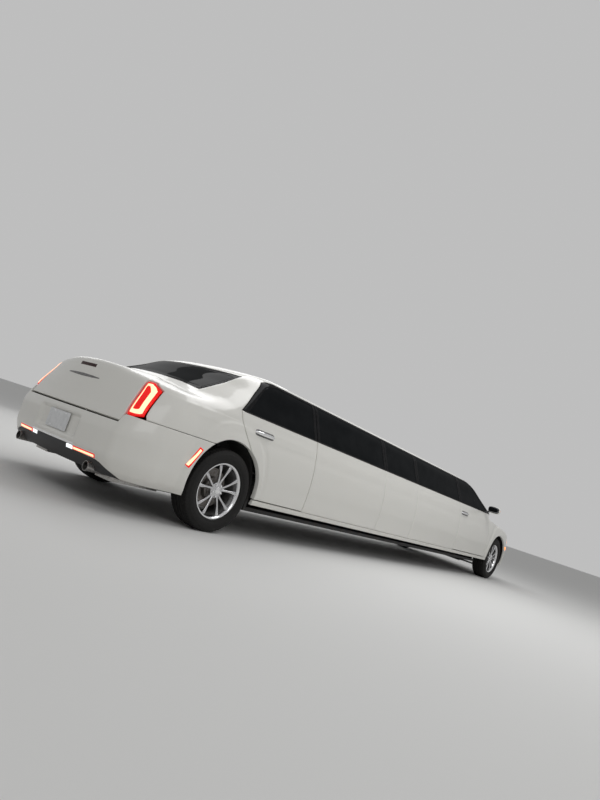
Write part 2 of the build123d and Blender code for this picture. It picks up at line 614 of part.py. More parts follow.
def seat(x, y0, y1, bottom, deep=520, thick=230, tall=620):
    """A seat cushion with its back."""
    base = fillet(block(x, x + deep, y0, y1, bottom, bottom + thick).edges().filter_by(Axis.Y), 40)
    back = Pos(x, 0, bottom + thick - 80) * Rot(0, -14, 0) * block(-110, 20, y0, y1, 0, tall)
    return base + fillet(back.edges().filter_by(Axis.Y), 40)


front_x = front_axle - 1750
parts["front_seats"] = Compound([seat(front_x, -640, -160, seat_base), seat(front_x, 160, 640, seat_base)])
bench = seat(rear_axle + 660, -640, 640, bench_base, 520, 150, 560)
side_bench = block(rear_axle + 1500, rear_axle + 4300, 330, 740, seat_base, seat_base + 230)
side_bench += block(rear_axle + 1500, rear_axle + 4300, 640, 740, seat_base, seat_base + 600)
parts["lounge_seats"] = Compound([bench, side_bench])
partition = block(front_axle - 2160, front_axle - 2130, -700, 700, seat_base, 1180)
parts["partition"] = partition - block(front_axle - 2200, front_axle - 2100, -tunnel_half, tunnel_half, 200, tunnel_top)
dash = block(front_axle - 900, firewall, -730, 730, 720, 960)
dash += block(front_axle - 900, front_axle - 760, -120, 120, bench_base, 760)
wheel_at = Pos(front_axle - 960, 400, 900) * Rot(0, -65, 0)
dash += wheel_at * (Torus(180, 14) + Box(40, 350, 16) + Pos(0, 0, -100) * Cylinder(25, 210))
parts["dashboard"] = dash

os.makedirs("parts", exist_ok=True)
for name, shape in parts.items():
    export_step(shape, f"parts/{name}.step")
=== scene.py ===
import bpy
import numpy as np
from math import cos, sin, radians
from mathutils import Matrix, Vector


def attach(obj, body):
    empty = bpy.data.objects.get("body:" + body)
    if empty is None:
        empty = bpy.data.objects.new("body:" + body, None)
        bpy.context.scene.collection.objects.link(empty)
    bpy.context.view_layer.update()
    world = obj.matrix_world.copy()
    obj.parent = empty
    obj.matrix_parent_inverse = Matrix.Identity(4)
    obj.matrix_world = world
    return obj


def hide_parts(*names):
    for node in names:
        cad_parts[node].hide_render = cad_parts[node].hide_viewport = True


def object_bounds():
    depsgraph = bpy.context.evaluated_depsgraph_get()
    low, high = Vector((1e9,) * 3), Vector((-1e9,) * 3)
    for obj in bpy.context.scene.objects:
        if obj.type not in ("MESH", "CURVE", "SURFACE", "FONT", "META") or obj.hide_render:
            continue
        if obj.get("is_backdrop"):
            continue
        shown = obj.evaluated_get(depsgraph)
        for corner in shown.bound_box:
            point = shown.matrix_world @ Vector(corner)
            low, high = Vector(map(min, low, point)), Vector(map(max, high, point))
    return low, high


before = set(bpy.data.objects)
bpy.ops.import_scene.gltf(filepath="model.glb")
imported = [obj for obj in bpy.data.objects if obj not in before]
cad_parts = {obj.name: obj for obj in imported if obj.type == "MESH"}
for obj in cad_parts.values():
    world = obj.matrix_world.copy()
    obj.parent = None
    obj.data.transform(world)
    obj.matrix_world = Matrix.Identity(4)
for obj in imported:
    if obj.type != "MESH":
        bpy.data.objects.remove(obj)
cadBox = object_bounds()

# Metres. +X to the nose, +Y to the left, +Z up, as in the frame.
car = dict(rearAxle=-3.372, frontAxle=3.580, tail=-4.472, nose=4.472, halfWidth=0.951, archRadius=0.412,
           rearArchZ=0.391, frontArchZ=0.360, belt=1.061, railZ=1.4325, roofZ=1.502, gap=0.004, doorBottom=0.360)
rearAxle, frontAxle = car["rearAxle"], car["frontAxle"]

# Rows of the body's outline seen from above: height, narrowing, then for the tail and the nose how far in, how much
# the end bows, and how long and wide its corner is (mm).
bodyRows = np.array([
    [250, 50, 55, 60, 330, 200, 90, 110, 360, 240], [305, 20, 30, 60, 330, 200, 45, 110, 360, 240],
    [420, 6, 0, 60, 330, 200, 10, 115, 370, 245], [560, 0, 0, 60, 330, 200, 0, 120, 380, 250],
    [750, 11, 50, 75, 330, 190, 45, 130, 380, 250], [969, 55, 88, 145, 300, 170, 150, 150, 380, 240],
    [1061, 91, 105, 165, 290, 165, 260, 160, 380, 240], [1140, 150, 120, 180, 290, 165, 360, 170, 380, 240]]) / 1000
# The same for roof and windows: height, half width, ends from the rear axle and from the front axle.
houseRows = np.array([
    [900, 905, -860, 160, 430, 215, -120, 112, 90, 110], [1000, 880, -747, 155, 430, 215, -234, 112, 90, 110],
    [1061, 861, -620, 150, 420, 200, -370, 110, 90, 110], [1238, 776, -250, 125, 345, 145, -765, 100, 90, 110],
    [1415, 680, 120, 100, 270, 90, -1160, 90, 120, 110], [1466, 610, 370, 70, 260, 90, -1440, 70, 140, 110],
    [1520, 400, 860, 40, 260, 90, -2000, 50, 160, 110]]) / 1000
form = dict(creaseZ=0.969, creaseStep=0.0045, creaseSoft=0.009, doorHollow=0.007, scallop=0.004,
            scallopZ=0.885, scallopHigh=0.055, lipWidth=0.050, lipTop=0.095, lipSoft=0.026, dipWidth=0.026,
            dipDepth=0.9, deck=(1.092, rearAxle - 0.800, 5.0), hood=(1.064, frontAxle - 0.350, -6.5),
            deckRadius=4.0, roofRadius=4.3, shoulderRadius=0.055, roofEdge=0.10, cornerSoft=0.11, bulge=0.007)


# Rows read at any height: a cubic between two rows whose end slopes are the harmonic mean of the slopes beside
# them, so it is smooth and never swings past a row.
def readRows(rows, at):
    z, v = rows[:, 0], rows[:, 1:]
    slope = np.diff(v, axis=0) / np.diff(z)[:, None]
    total = slope[1:] + slope[:-1]
    product = slope[1:] * slope[:-1]
    mean = np.where(product > 0, 2 * product / np.where(total == 0, 1, total), 0)
    tangent = np.vstack([slope[:1], mean, slope[-1:]])
    at = np.clip(at, z[0], z[-1])
    i = np.clip(np.searchsorted(z, at) - 1, 0, len(z) - 2)
    h = np.diff(z)[i][..., None]
    t = ((at - z[i]) / (z[i + 1] - z[i]))[..., None]
    value = ((1 + 2 * t) * (1 - t) ** 2 * v[i] + t * (1 - t) ** 2 * h * tangent[i]
             + t * t * (3 - 2 * t) * v[i + 1] + t * t * (t - 1) * h * tangent[i + 1])
    return np.moveaxis(value, -1, 0)


# The larger of two depths, rounded where they meet: max + (k - |a - b|)^2 / 4k inside the band k.
def softMax(a, b, k):
    return np.maximum(a, b) + np.maximum(k - np.abs(a - b), 0) ** 2 / (4 * k)


def softStep(x, width):  # 0 below, 1 above, a smooth cubic over the width
    t = np.clip(x / width + 0.5, 0, 1)
    return t * t * (3 - 2 * t)


# Depth beyond one end of an outline: a bowed circle in the middle and a corner circle that touches the side, mixed
# softly where the two circles cross.
def endDepth(x, y, half, back, crown, dx, dy):
    r = (dx * dx + dy * dy) / (2 * dy)
    corner = np.hypot(np.maximum(back + crown + dx - x, 0), np.maximum(np.abs(y) - half + r, 0)) - r
    wide = half - dy
    bow = (wide * wide + crown * crown) / (2 * crown)
    middle = np.hypot(np.maximum(back + bow - x, 0), y) - bow
    share = softStep(np.abs(y) - wide, form["cornerSoft"])
    return middle * (1 - share) + corner * share


# How far in the body lies beside a wheel arch, as a share of the door hollow: 0 on the flared band round the arch,
# which is broadest over its top, then a shallow dip just outside the band, and 1 away from it.
def archHollow(x, z):
    rise, dip = 0.0, 0.0
    for cx, cz in ((rearAxle, car["rearArchZ"]), (frontAxle, car["frontArchZ"])):
        near = np.hypot(x - cx, z - cz) - car["archRadius"]
        width = form["lipWidth"] + form["lipTop"] * np.clip((z - cz) / 0.5, 0, 1) ** 2
        rise = np.maximum(rise, softStep(width - near, form["lipSoft"]))
        dip = np.maximum(dip, np.exp(-((near - width - form["dipWidth"]) / form["dipWidth"]) ** 2))
    return (1 - rise) * (1 + form["dipDepth"] * dip)


def raisedMiddle(x, y):  # low raised middle of bonnet and boot lid: a soft step on each side
    width = np.where(x > 0, 0.36 - 0.05 * (x - frontAxle), 0.40)
    return form["bulge"] * softStep(width - np.abs(y), 0.09) - 0.002


# Depth of the body below the windows: plan outline at the height, less the hollow of the doors, a step at the
# shoulder crease, and the bowed deck and hood surfaces above.
def lowerDepth(x, y, z):
    narrow, *ends = readRows(bodyRows, z)
    along = softStep(x - rearAxle + 0.45, 0.5) * softStep(frontAxle + 0.50 - x, 0.5)
    hollow = form["doorHollow"] * archHollow(x, z) * (0.9 + 0.1 * along)
    hollow = hollow + form["creaseStep"] * softStep(z - form["creaseZ"], form["creaseSoft"])
    hollow = hollow + form["scallop"] * along * np.exp(-((z - form["scallopZ"]) / form["scallopHigh"]) ** 2)
    half = car["halfWidth"] - narrow - hollow
    rear = endDepth(x, y, half, car["tail"] + ends[0], *ends[1:4])
    front = endDepth(-x, y, half, -(car["nose"] - ends[4]), *ends[5:])
    sag = form["deckRadius"] - np.sqrt(form["deckRadius"] ** 2 - y * y)
    deck, hood = (high + np.tan(radians(slope)) * (x - start) - sag + raisedMiddle(x, y)
                  for high, start, slope in (form["deck"], form["hood"]))
    top = np.where(x < rearAxle + 0.3, deck, np.where(x > frontAxle - 0.575, hood, 1.02))
    return softMax(np.maximum(rear, front), z - top, form["shoulderRadius"])


def houseDepth(x, y, z):  # roof and windows: plan outline at the height under a bowed roof
    half, *ends = readRows(houseRows, z)
    rear = endDepth(x, y, half, rearAxle + ends[0], *ends[1:4])
    front = endDepth(-x, y, half, -(frontAxle + ends[4]), *ends[5:])
    r = form["roofRadius"]
    sunk = 0.06 * softStep(car["belt"] - 0.012 - z, 0.03) * softStep(x - (frontAxle - 0.585), 0.05)
    return sunk + softMax(np.maximum(rear, front), z - (car["roofZ"] - r + np.sqrt(r * r - y * y)), form["roofEdge"])


# The whole body: the nearer of the two, with a fillet at the foot of the screens and rear pillars.
def bodyDepth(p):
    x, y, z = p[..., 0], p[..., 1], p[..., 2]
    fillet = 0.012 + 0.05 * softStep(rearAxle - 0.12 - x, 0.3)
    return -softMax(-lowerDepth(x, y, z), -houseDepth(x, y, z), fillet)


def slopeOf(p):  # gradient of the body's depth by differences, and its length
    e = 0.0008
    g = np.stack([bodyDepth(p + np.eye(3)[i] * e) - bodyDepth(p - np.eye(3)[i] * e) for i in range(3)], -1) / (2 * e)
    return g, np.maximum(np.linalg.norm(g, axis=-1, keepdims=True), 1e-6)


# Points slid down the gradient on to the body, less an inset.
def settle(p, inset=0.0, rounds=14):
    for _ in range(rounds):
        off = bodyDepth(p) + inset
        if np.abs(off).max() < 2e-6:
            break
        g, n = slopeOf(p)
        p = p - np.clip(off[..., None], -0.03, 0.03) * g / np.maximum(n * n, 0.3)
    return p


# A ray from an inner to an outer point, halved until it meets the body.
def meet(inner, outer):
    low, high = np.zeros(len(inner)), np.ones(len(inner))
    for _ in range(26):
        mid = (low + high) / 2
        out = bodyDepth(inner + (outer - inner) * mid[:, None]) > 0
        high, low = np.where(out, mid, high), np.where(out, low, mid)
    return inner + (outer - inner) * low[:, None]


def evenly(line, count):  # the same line with evenly spaced points
    run = np.concatenate([[0], np.cumsum(np.linalg.norm(np.diff(line, axis=0), axis=1))])
    at = np.linspace(0, run[-1], count)
    return np.stack([np.interp(at, run, line[:, i]) for i in range(line.shape[1])], 1)


# The views in which lines are drawn: where the third coordinate goes, and the two ends of its rays.
views = dict(side=(1, -0.2, -1.3), top=(2, 0.7, 1.8), rear=(0, rearAxle - 0.3, car["tail"] - 0.4),
             front=(0, frontAxle + 0.2, car["nose"] + 0.4), rearScreen=(0, rearAxle + 1.0, rearAxle - 0.75),
             windscreen=(0, frontAxle - 2.2, frontAxle + 0.4))


# A line drawn in one view, resampled evenly and carried on to the body.
def drawn(points, view, count=60):
    line = evenly(np.array(points, float), count)
    axis, inner, outer = views[view]
    return meet(np.insert(line, axis, inner, 1), np.insert(line, axis, outer, 1))


def spot(a, b, view):  # one point drawn in a view
    return drawn([(a, b), (a + 0.001, b)], view, 2)[0]


def chain(*lines):  # several lines end to end
    return np.concatenate([line if i == 0 else line[1:] for i, line in enumerate(lines)])


def arcLine(x, z, r, start, stop, count=24):  # a circle's arc in the side view, angles in degrees
    return [(x + r * cos(t), z + r * sin(t)) for t in np.radians(np.linspace(start, stop, count))]


def beside(x, points):  # points given from a place along the car
    return [(x + a, b) for a, b in points]


def box(a, b, low, high):  # the four lines of an upright rectangle, in a patch's order
    return [(a, low), (b, low)], [(b, low), (b, high)], [(a, high), (b, high)], [(a, low), (a, high)]


def bridge(p, q, count=24):  # a straight line between two points, settled on to the body
    t = np.linspace(0, 1, count)[:, None]
    return settle(p * (1 - t) + q * t)


def flip(line):  # the mirror image of a line, run the other way
    return (line[::-1] if line.ndim > 1 else line) * [1, -1, 1]


# A level line round one end of the body, from the right side to the left: rays from a centre at even angles, their
# height read from pairs of angle from the side and height.
def endLine(centre, heights, nose=False, count=241):
    a = np.linspace(0, 180, count)
    z = np.interp(np.minimum(a, 180 - a), [h[0] for h in heights], [h[1] for h in heights])
    turn = np.radians(-90 + a if nose else -90 - a)
    inner = np.stack([np.full(count, centre), np.zeros(count), z], 1)
    return meet(inner, inner + 1.7 * np.stack([np.cos(turn), np.sin(turn), 0 * turn], 1))


def newMaterial(name, color, rough, metal=0.0, coat=0.0, alpha=1.0, emission=0.0, specular=0.5):
    m = bpy.data.materials.new(name)
    m.use_nodes = True
    shader = m.node_tree.nodes["Principled BSDF"]
    for socket, value in (("Base Color", (*color, 1)), ("Roughness", rough), ("Metallic", metal), ("Coat Weight", coat),
                          ("Coat Roughness", 0.03), ("Alpha", alpha), ("Specular IOR Level", specular)):
        shader.inputs[socket].default_value = value
    if emission:
        shader.inputs["Emission Color"].default_value = (*color, 1)
        shader.inputs["Emission Strength"].default_value = emission
    return m, shader


# A node with values on its sockets and links into them; a link is a node and the name of its output.
def addNode(m, kind, links=(), **values):
    node = m.node_tree.nodes.new("ShaderNode" + kind)
    for socket, value in values.items():
        node.inputs[socket.replace("_", " ")].default_value = value
    for socket, (source, output) in dict(links).items():
        m.node_tree.links.new(source.outputs[output], node.inputs[socket])
    return node


def join(m, source, output, shader, socket):
    m.node_tree.links.new(source.outputs[output], shader.inputs[socket])


# Noise on Object coordinates into colour, roughness and bump; each pair runs from its first to its second value.
def grained(m, shader, scale, colors, rough, bump=0.0, depth=0.001, detail=4.0, stretch=(1, 1, 1)):
    where = addNode(m, "TexCoord")
    mapping = addNode(m, "Mapping", dict(Vector=(where, "Object")), Scale=stretch)
    noise = addNode(m, "TexNoise", dict(Vector=(mapping, "Vector")), Scale=scale, Detail=detail)
    ramp = addNode(m, "ValToRGB", dict(Fac=(noise, "Fac")))
    for stop, place, color in zip(ramp.color_ramp.elements, (0.35, 0.65), colors):
        stop.position, stop.color = place, (*color, 1)
    join(m, ramp, "Color", shader, "Base Color")
    span = addNode(m, "MapRange", dict(Value=(noise, "Fac")), To_Min=rough[0], To_Max=rough[1])
    join(m, span, "Result", shader, "Roughness")
    if bump:
        b = addNode(m, "Bump", dict(Height=(noise, "Fac")), Strength=bump, Distance=depth)
        join(m, b, "Normal", shader, "Normal")
    return m


paintwork = dict(body=(0.80, 0.79, 0.745), dust=(0.55, 0.52, 0.46), dustLow=0.25, dustTop=0.42, dustShare=0.45,
                 peel=420.0)


# Paint: ivory under a clear coat, a faint orange peel, and road dust that thins out above the sills.
def makePaint():
    m, shader = newMaterial("paint", paintwork["body"], 0.36, coat=0.55)
    where = addNode(m, "TexCoord")
    split = addNode(m, "SeparateXYZ", dict(Vector=(where, "Object")))
    height = addNode(m, "MapRange", dict(Value=(split, "Z")), From_Min=paintwork["dustLow"],
                     From_Max=paintwork["dustTop"], To_Min=paintwork["dustShare"], To_Max=0.0)
    noise = addNode(m, "TexNoise", dict(Vector=(where, "Object")), Scale=9.0, Detail=6.0)
    share = addNode(m, "Math")
    share.operation = "MULTIPLY"
    m.node_tree.links.new(height.outputs["Result"], share.inputs[0])
    m.node_tree.links.new(noise.outputs["Fac"], share.inputs[1])
    mix = addNode(m, "Mix")
    mix.data_type = "RGBA"
    mix.inputs["A"].default_value = (*paintwork["body"], 1)
    mix.inputs["B"].default_value = (*paintwork["dust"], 1)
    join(m, share, "Value", mix, "Factor")
    join(m, mix, "Result", shader, "Base Color")
    peel = addNode(m, "TexNoise", dict(Vector=(where, "Object")), Scale=paintwork["peel"], Detail=2.0)
    bump = addNode(m, "Bump", dict(Height=(peel, "Fac")), Strength=0.035, Distance=0.0006)
    join(m, bump, "Normal", shader, "Coat Normal")
    return m


# Each finish: its slot, base colour, roughness and other values, then the grain over it: scale, colours, roughnesses.
finishes = dict(
    trim=("trim", (0.05, 0.05, 0.052), 0.7, {}, 60, ((0.045, 0.045, 0.047), (0.065, 0.064, 0.064)), (0.6, 0.8),
          dict(bump=0.3, depth=0.0006)),
    blackGloss=("black_plastic", (0.010, 0.010, 0.011), 0.16, dict(coat=0.14, specular=0.0), 30,
                ((0.010, 0.010, 0.011), (0.016, 0.016, 0.017)), (0.10, 0.17)),
    blackPlastic=("black_plastic", (0.03, 0.03, 0.032), 0.55, {}, 260,
                  ((0.026, 0.026, 0.028), (0.040, 0.040, 0.041)), (0.45, 0.62), dict(bump=0.35, depth=0.0005)),
    rubber=("black_plastic", (0.012, 0.012, 0.012), 0.75, dict(specular=0.3), 90,
            ((0.009, 0.009, 0.009), (0.018, 0.017, 0.016)), (0.65, 0.85), dict(bump=0.2, depth=0.0004)),
    tintedGlass=("tinted_glass", (0.006, 0.007, 0.008), 0.03, dict(coat=0.12, specular=0.0), 5,
                 ((0.005, 0.006, 0.007), (0.009, 0.010, 0.011)), (0.02, 0.05)),
    clearGlass=("clear_glass", (0.05, 0.06, 0.06), 0.02, dict(alpha=0.34), 6,
                ((0.045, 0.055, 0.055), (0.055, 0.066, 0.064)), (0.01, 0.03)),
    redLens=("lamp", (0.90, 0.008, 0.006), 0.12, dict(coat=0.3, emission=0.55, specular=0.2), 25,
             ((0.62, 0.006, 0.005), (0.85, 0.012, 0.009)), (0.08, 0.16)),
    redDark=("lamp", (0.03, 0.004, 0.004), 0.10, dict(coat=0.2, specular=0.1), 25,
             ((0.022, 0.003, 0.003), (0.038, 0.005, 0.005)), (0.06, 0.14)),
    lightLoop=("lamp", (1.0, 0.50, 0.30), 0.25, dict(emission=1.6), 60, ((0.95, 0.45, 0.28), (1.0, 0.60, 0.38)),
               (0.2, 0.3)),
    whiteLamp=("clear_lamp", (0.90, 0.93, 0.95), 0.12, dict(emission=1.1, coat=0.6), 60,
               ((0.82, 0.86, 0.88), (0.95, 0.97, 0.98)), (0.1, 0.2)),
    amber=("lamp", (1.0, 0.26, 0.02), 0.2, dict(coat=0.4, emission=1.7), 40, ((0.95, 0.20, 0.015), (1.0, 0.32, 0.03)),
           (0.15, 0.25)),
    alloy=("alloy", (0.60, 0.60, 0.61), 0.24, dict(metal=1.0, coat=0.4), 70, ((0.56, 0.56, 0.57), (0.64, 0.64, 0.65)),
           (0.18, 0.30)),
    alloyDark=("alloy", (0.20, 0.20, 0.21), 0.42, dict(metal=0.9), 50, ((0.15, 0.15, 0.155), (0.25, 0.245, 0.24)),
               (0.35, 0.5)),
    polished=("alloy", (0.80, 0.80, 0.81), 0.12, dict(metal=1.0), 80, ((0.76, 0.76, 0.77), (0.84, 0.84, 0.85)),
              (0.08, 0.18)),
    castIron=("iron", (0.28, 0.26, 0.25), 0.5, dict(metal=0.9), 120, ((0.20, 0.17, 0.15), (0.36, 0.35, 0.34)),
              (0.4, 0.6), dict(bump=0.3, depth=0.0005, stretch=(1, 6, 1))),
    lensGlass=("clear_lamp", (0.55, 0.62, 0.68), 0.04, dict(coat=1.0, metal=0.4), 30,
               ((0.50, 0.57, 0.63), (0.60, 0.67, 0.72)), (0.03, 0.08)),
    lampGlass=("clear_lamp", (0.70, 0.74, 0.76), 0.02, dict(alpha=0.16), 12, ((0.66, 0.70, 0.72), (0.74, 0.78, 0.80)),
               (0.01, 0.04)),
    leather=("leather", (0.05, 0.046, 0.043), 0.45, {}, 300, ((0.040, 0.037, 0.034), (0.062, 0.057, 0.053)),
             (0.38, 0.55), dict(bump=0.4, depth=0.0006, detail=3.0)),
    dashSkin=("trim", (0.03, 0.03, 0.032), 0.6, {}, 380, ((0.026, 0.026, 0.028), (0.038, 0.038, 0.040)),
              (0.52, 0.68), dict(bump=0.4, depth=0.0005)),
    woodTrim=("trim", (0.16, 0.07, 0.03), 0.15, dict(coat=0.8), 6, ((0.10, 0.04, 0.018), (0.22, 0.10, 0.045)),
              (0.12, 0.2), dict(stretch=(0.6, 9, 9))),
    underCoat=("underbody", (0.035, 0.035, 0.036), 0.7, {}, 40, ((0.028, 0.028, 0.029), (0.050, 0.047, 0.044)),
               (0.6, 0.85), dict(bump=0.4, depth=0.001)),
    liner=("underbody", (0.030, 0.030, 0.030), 0.85, {}, 90, ((0.022, 0.022, 0.022), (0.042, 0.040, 0.038)),
           (0.75, 0.95), dict(bump=0.5, depth=0.0015)),
    steel=("steel", (0.42, 0.41, 0.40), 0.35, dict(metal=1.0), 60, ((0.34, 0.32, 0.30), (0.50, 0.49, 0.48)),
           (0.25, 0.45), dict(bump=0.15, depth=0.0004)),
    # Mirror glass: a dark grey metal, darker than real mirror glass, as painted reflection of dark surroundings.
    mirrorGlass=("chrome", (0.22, 0.23, 0.25), 0.03, dict(metal=1.0), 6, ((0.20, 0.21, 0.23), (0.24, 0.25, 0.27)),
                 (0.02, 0.05)),
    plate=("trim", (0.72, 0.73, 0.74), 0.35, dict(coat=0.3), 30, ((0.68, 0.69, 0.70), (0.76, 0.77, 0.78)),
           (0.3, 0.45)),
    chrome=("chrome", (0.86, 0.86, 0.87), 0.07, dict(metal=1.0), 40, ((0.82, 0.82, 0.83), (0.90, 0.90, 0.91)),
            (0.04, 0.12)))
finish, slotOf = dict(paint=makePaint()), dict(paint="paint")
for key, (slot, color, rough, values, scale, colors, roughs, *grain) in finishes.items():
    name = "".join("_" + c.lower() if c.isupper() else c for c in key)
    bumps = grain[0] if grain else {}
    finish[key] = grained(*newMaterial(name, color, rough, **values), scale, colors, roughs, **bumps)
    slotOf[key] = slot

# Rounded edges of the skins: radius, and where the rolled edge's rows lie across it.
roll = dict(radius=0.005, steps=np.array([0.0, 0.15, 0.5, 1.0]), thickness=0.028)


def spread(line, count):  # parameters along a line, packed near both ends for the rolled edge
    length = np.linalg.norm(np.diff(line, axis=0), axis=1).sum()
    ends = roll["steps"] * min(roll["radius"] / length, 0.2)
    return np.concatenate([ends[:-1], np.linspace(ends[-1], 1 - ends[-1], count), 1 - ends[::-1][1:]])


# Points of a line at parameters of its length; the parameter nearest to each sharp corner moves on to it.
def at(line, t):
    run = np.concatenate([[0], np.cumsum(np.linalg.norm(np.diff(line, axis=0), axis=1))])
    way = np.diff(line, axis=0) / np.maximum(np.diff(run), 1e-9)[:, None]
    turn = (way[1:] * way[:-1]).sum(1)
    t = t.copy()
    for corner in np.nonzero(turn < 0.86)[0] + 1:
        near = 1 + np.argmin(np.abs(t[1:-1] - run[corner] / run[-1]))
        t[near] = run[corner] / run[-1]
    return np.stack([np.interp(t * run[-1], run, line[:, i]) for i in range(3)], 1)


# A patch between four lines: each side's line is blended across (the sum of the two ruled surfaces less the
# bilinear one), then settled on to the body.
def patchGrid(bottom, right, top, left, nu, nv, inset=0.0):
    u, v = spread(bottom, nu), spread(left, nv)
    b, t, r, l = at(bottom, u), at(top, u), at(right, v), at(left, v)
    uu, vv = u[:, None, None], v[None, :, None]
    p = (1 - vv) * b[:, None] + vv * t[:, None] + (1 - uu) * l[None] + uu * r[None]
    p -= (1 - uu) * (1 - vv) * b[0] + uu * (1 - vv) * b[-1] + (1 - uu) * vv * t[0] + uu * vv * t[-1]
    return settle(p, inset)


def patch(lines, view, nu, nv, inset=0.0, counts=(60, 60, 60, 60)):  # a patch whose four lines are drawn in one view
    return patchGrid(*(drawn(line, view, count) for line, count in zip(lines, counts)), nu, nv, inset)


def between(a, b, nu, nv, inset=0.0):  # a patch between two lines, its ends straight bridges over the body
    return patchGrid(a, bridge(a[-1], b[-1]), b, bridge(a[0], b[0]), nu, nv, inset)


def strip(a, b, nu, nv, inset=0.0):  # the same for two lines that lie close together
    return patchGrid(a, np.array([a[-1], b[-1]]), b, np.array([a[0], b[0]]), nu, nv, inset)


def gridQuads(nu, nv, closeU=False, closeV=False):  # faces of a grid, joined round where it closes
    i, j = np.meshgrid(np.arange(nu if closeU else nu - 1), np.arange(nv if closeV else nv - 1), indexing="ij")
    i, j = i.ravel(), j.ravel()
    i2, j2 = (i + 1) % nu, (j + 1) % nv
    return np.stack([i * nv + j, i2 * nv + j, i2 * nv + j2, i * nv + j2], 1)


# A grid of points made a closed sheet: its edges (bottom, right, top, left) roll in by a quarter circle where asked,
# and a second layer lies under it by the thickness along the body's slope.
def sheetFrom(grid, thickness, outer, inner=None, rolled=(1, 1, 1, 1), relief=None):
    nu, nv = grid.shape[:2]
    g, n = slopeOf(grid)
    normal = g / n
    if relief is not None:
        grid = grid - normal * relief(grid)[..., None]
    k = len(roll["steps"])
    fall = roll["radius"] * (1 - np.sqrt(np.clip(1 - (1 - roll["steps"]) ** 2, 0, 1)))
    drop = np.zeros((nu, nv))
    drop[:, :k] = np.maximum(drop[:, :k], rolled[0] * fall)
    drop[:, -k:] = np.maximum(drop[:, -k:], rolled[2] * fall[::-1])
    drop[:k] = np.maximum(drop[:k], rolled[3] * fall[:, None])
    drop[-k:] = np.maximum(drop[-k:], rolled[1] * fall[::-1, None])
    upper = (grid - normal * drop[..., None]).reshape(-1, 3)
    lower = (grid - normal * thickness).reshape(-1, 3)
    quad = gridQuads(nu, nv)
    ring = np.concatenate([np.arange(nu) * nv, (nu - 1) * nv + np.arange(1, nv),
                           np.arange(nu - 2, -1, -1) * nv + nv - 1, np.arange(nv - 2, 0, -1)])
    after = np.roll(ring, -1)
    rim = np.stack([after, ring, ring + nu * nv, after + nu * nv], 1)
    faces = np.concatenate([quad, quad[:, ::-1] + nu * nv, rim])
    mark = np.repeat([0, 1, 0], [len(quad), len(quad), len(rim)])
    a, b, c = (upper[quad[:, i]] for i in range(3))
    if (np.cross(b - a, c - a) * normal.reshape(-1, 3)[quad[:, 0]]).sum() < 0:
        faces = faces[:, ::-1]
    return dict(points=np.concatenate([upper, lower]), faces=faces, mark=mark, outer=outer, inner=inner or outer)


def skin(grid, rolled=(1, 1, 1, 1), thickness=roll["thickness"], relief=None):  # painted outside, trimmed inside
    return sheetFrom(grid, thickness, "paint", "trim", rolled, relief)


# A slim piece laid along the body: a strip between two lines of one view, standing proud of the form.
def laid(lower, upper, view, key, proud=0.0, count=40, wide=4, thickness=0.008, samples=90, inner=None):
    grid = strip(drawn(lower, view, samples), drawn(upper, view, samples), count, wide, -proud)
    return sheetFrom(grid, thickness, key, inner)


def loopStrip(outer, inner, view, key, proud, count=120, thickness=0.006):  # a strip that runs round in a loop
    return laid(outer, inner, view, key, proud, count, 4, thickness, 160)


# Sheets joined into one object. A left-hand one has y and the order of its corners turned round.
def build(name, sheets, body, replaced=(), left=False, slot=None, sharp=38):
    points, faces, marks, keys, base = [], [], [], [], 0
    for s in (mirrored(s) for s in sheets) if left else sheets:
        for key in (s["outer"], s["inner"]):
            if key not in keys:
                keys.append(key)
        points.append(s["points"])
        for part in (s["faces"], s.get("tris", ())):
            faces += (np.asarray(part) + base).tolist()
        marks.append(np.array([keys.index(s["outer"]), keys.index(s["inner"])])[s["mark"]])
        base += len(s["points"])
    mesh = bpy.data.meshes.new(name)
    mesh.from_pydata(np.concatenate(points), [], faces)
    mesh.polygons.foreach_set("material_index", np.concatenate(marks).astype(np.int32))
    mesh.polygons.foreach_set("use_smooth", np.ones(len(faces), bool))
    mesh.validate()
    mesh.set_sharp_from_angle(angle=radians(sharp))
    mesh.update()
    for key in keys:
        mesh.materials.append(finish[key])
    piece = bpy.data.objects.new(name, mesh)
    bpy.context.scene.collection.objects.link(piece)
    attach(piece, body)
    slot or slotOf[keys[0]]
    if replaced:
        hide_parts(*replaced)
    return piece


def pair(name, sheets, body, replaced=(), **more):  # right and left hand pieces; {} in a name takes the side
    for hand in ("right", "left"):
        build(f"{name}_{hand}", sheets, body.format(hand), [r.format(hand) for r in replaced], hand == "left", **more)


def mirrored(s):  # the left-hand copy of a sheet
    return dict(s, points=s["points"] * [1, -1, 1], **{k: s[k][:, ::-1] for k in ("faces", "tris") if k in s})


def both(*sheets):  # sheets of the right side and their left-hand copies
    return [*sheets, *(mirrored(s) for s in sheets)]


def circle(count):
    return np.linspace(0, 2 * np.pi, count, endpoint=False)


def raised(a, e):  # a power that keeps the sign
    return np.sign(a) * np.abs(a) ** e


def outward(s):  # the volume's sign tells which way the faces point
    p, tris = s["points"], s.get("tris", np.zeros((0, 3), int))
    a, b, c, d = (p[s["faces"][:, i]] for i in range(4))
    volume = (np.cross(a, b) * c).sum() + (np.cross(a, c) * d).sum()
    a, b, c = (p[tris[:, i]] for i in range(3))
    volume += (np.cross(a, b) * c).sum()
    if volume < 0:
        s.update(faces=s["faces"][:, ::-1], tris=tris[:, ::-1])
    s["mark"] = np.zeros(len(s["faces"]) + len(tris), int)
    return s


def closedForm(grid, key, ends=None, tris=None, closeU=False):
    points = grid.reshape(-1, 3) if ends is None else np.concatenate([grid.reshape(-1, 3), ends])
    s = dict(points=points, faces=gridQuads(*grid.shape[:2], closeU=closeU, closeV=True), outer=key, inner=key)
    return outward(s if tris is None else dict(s, tris=tris))


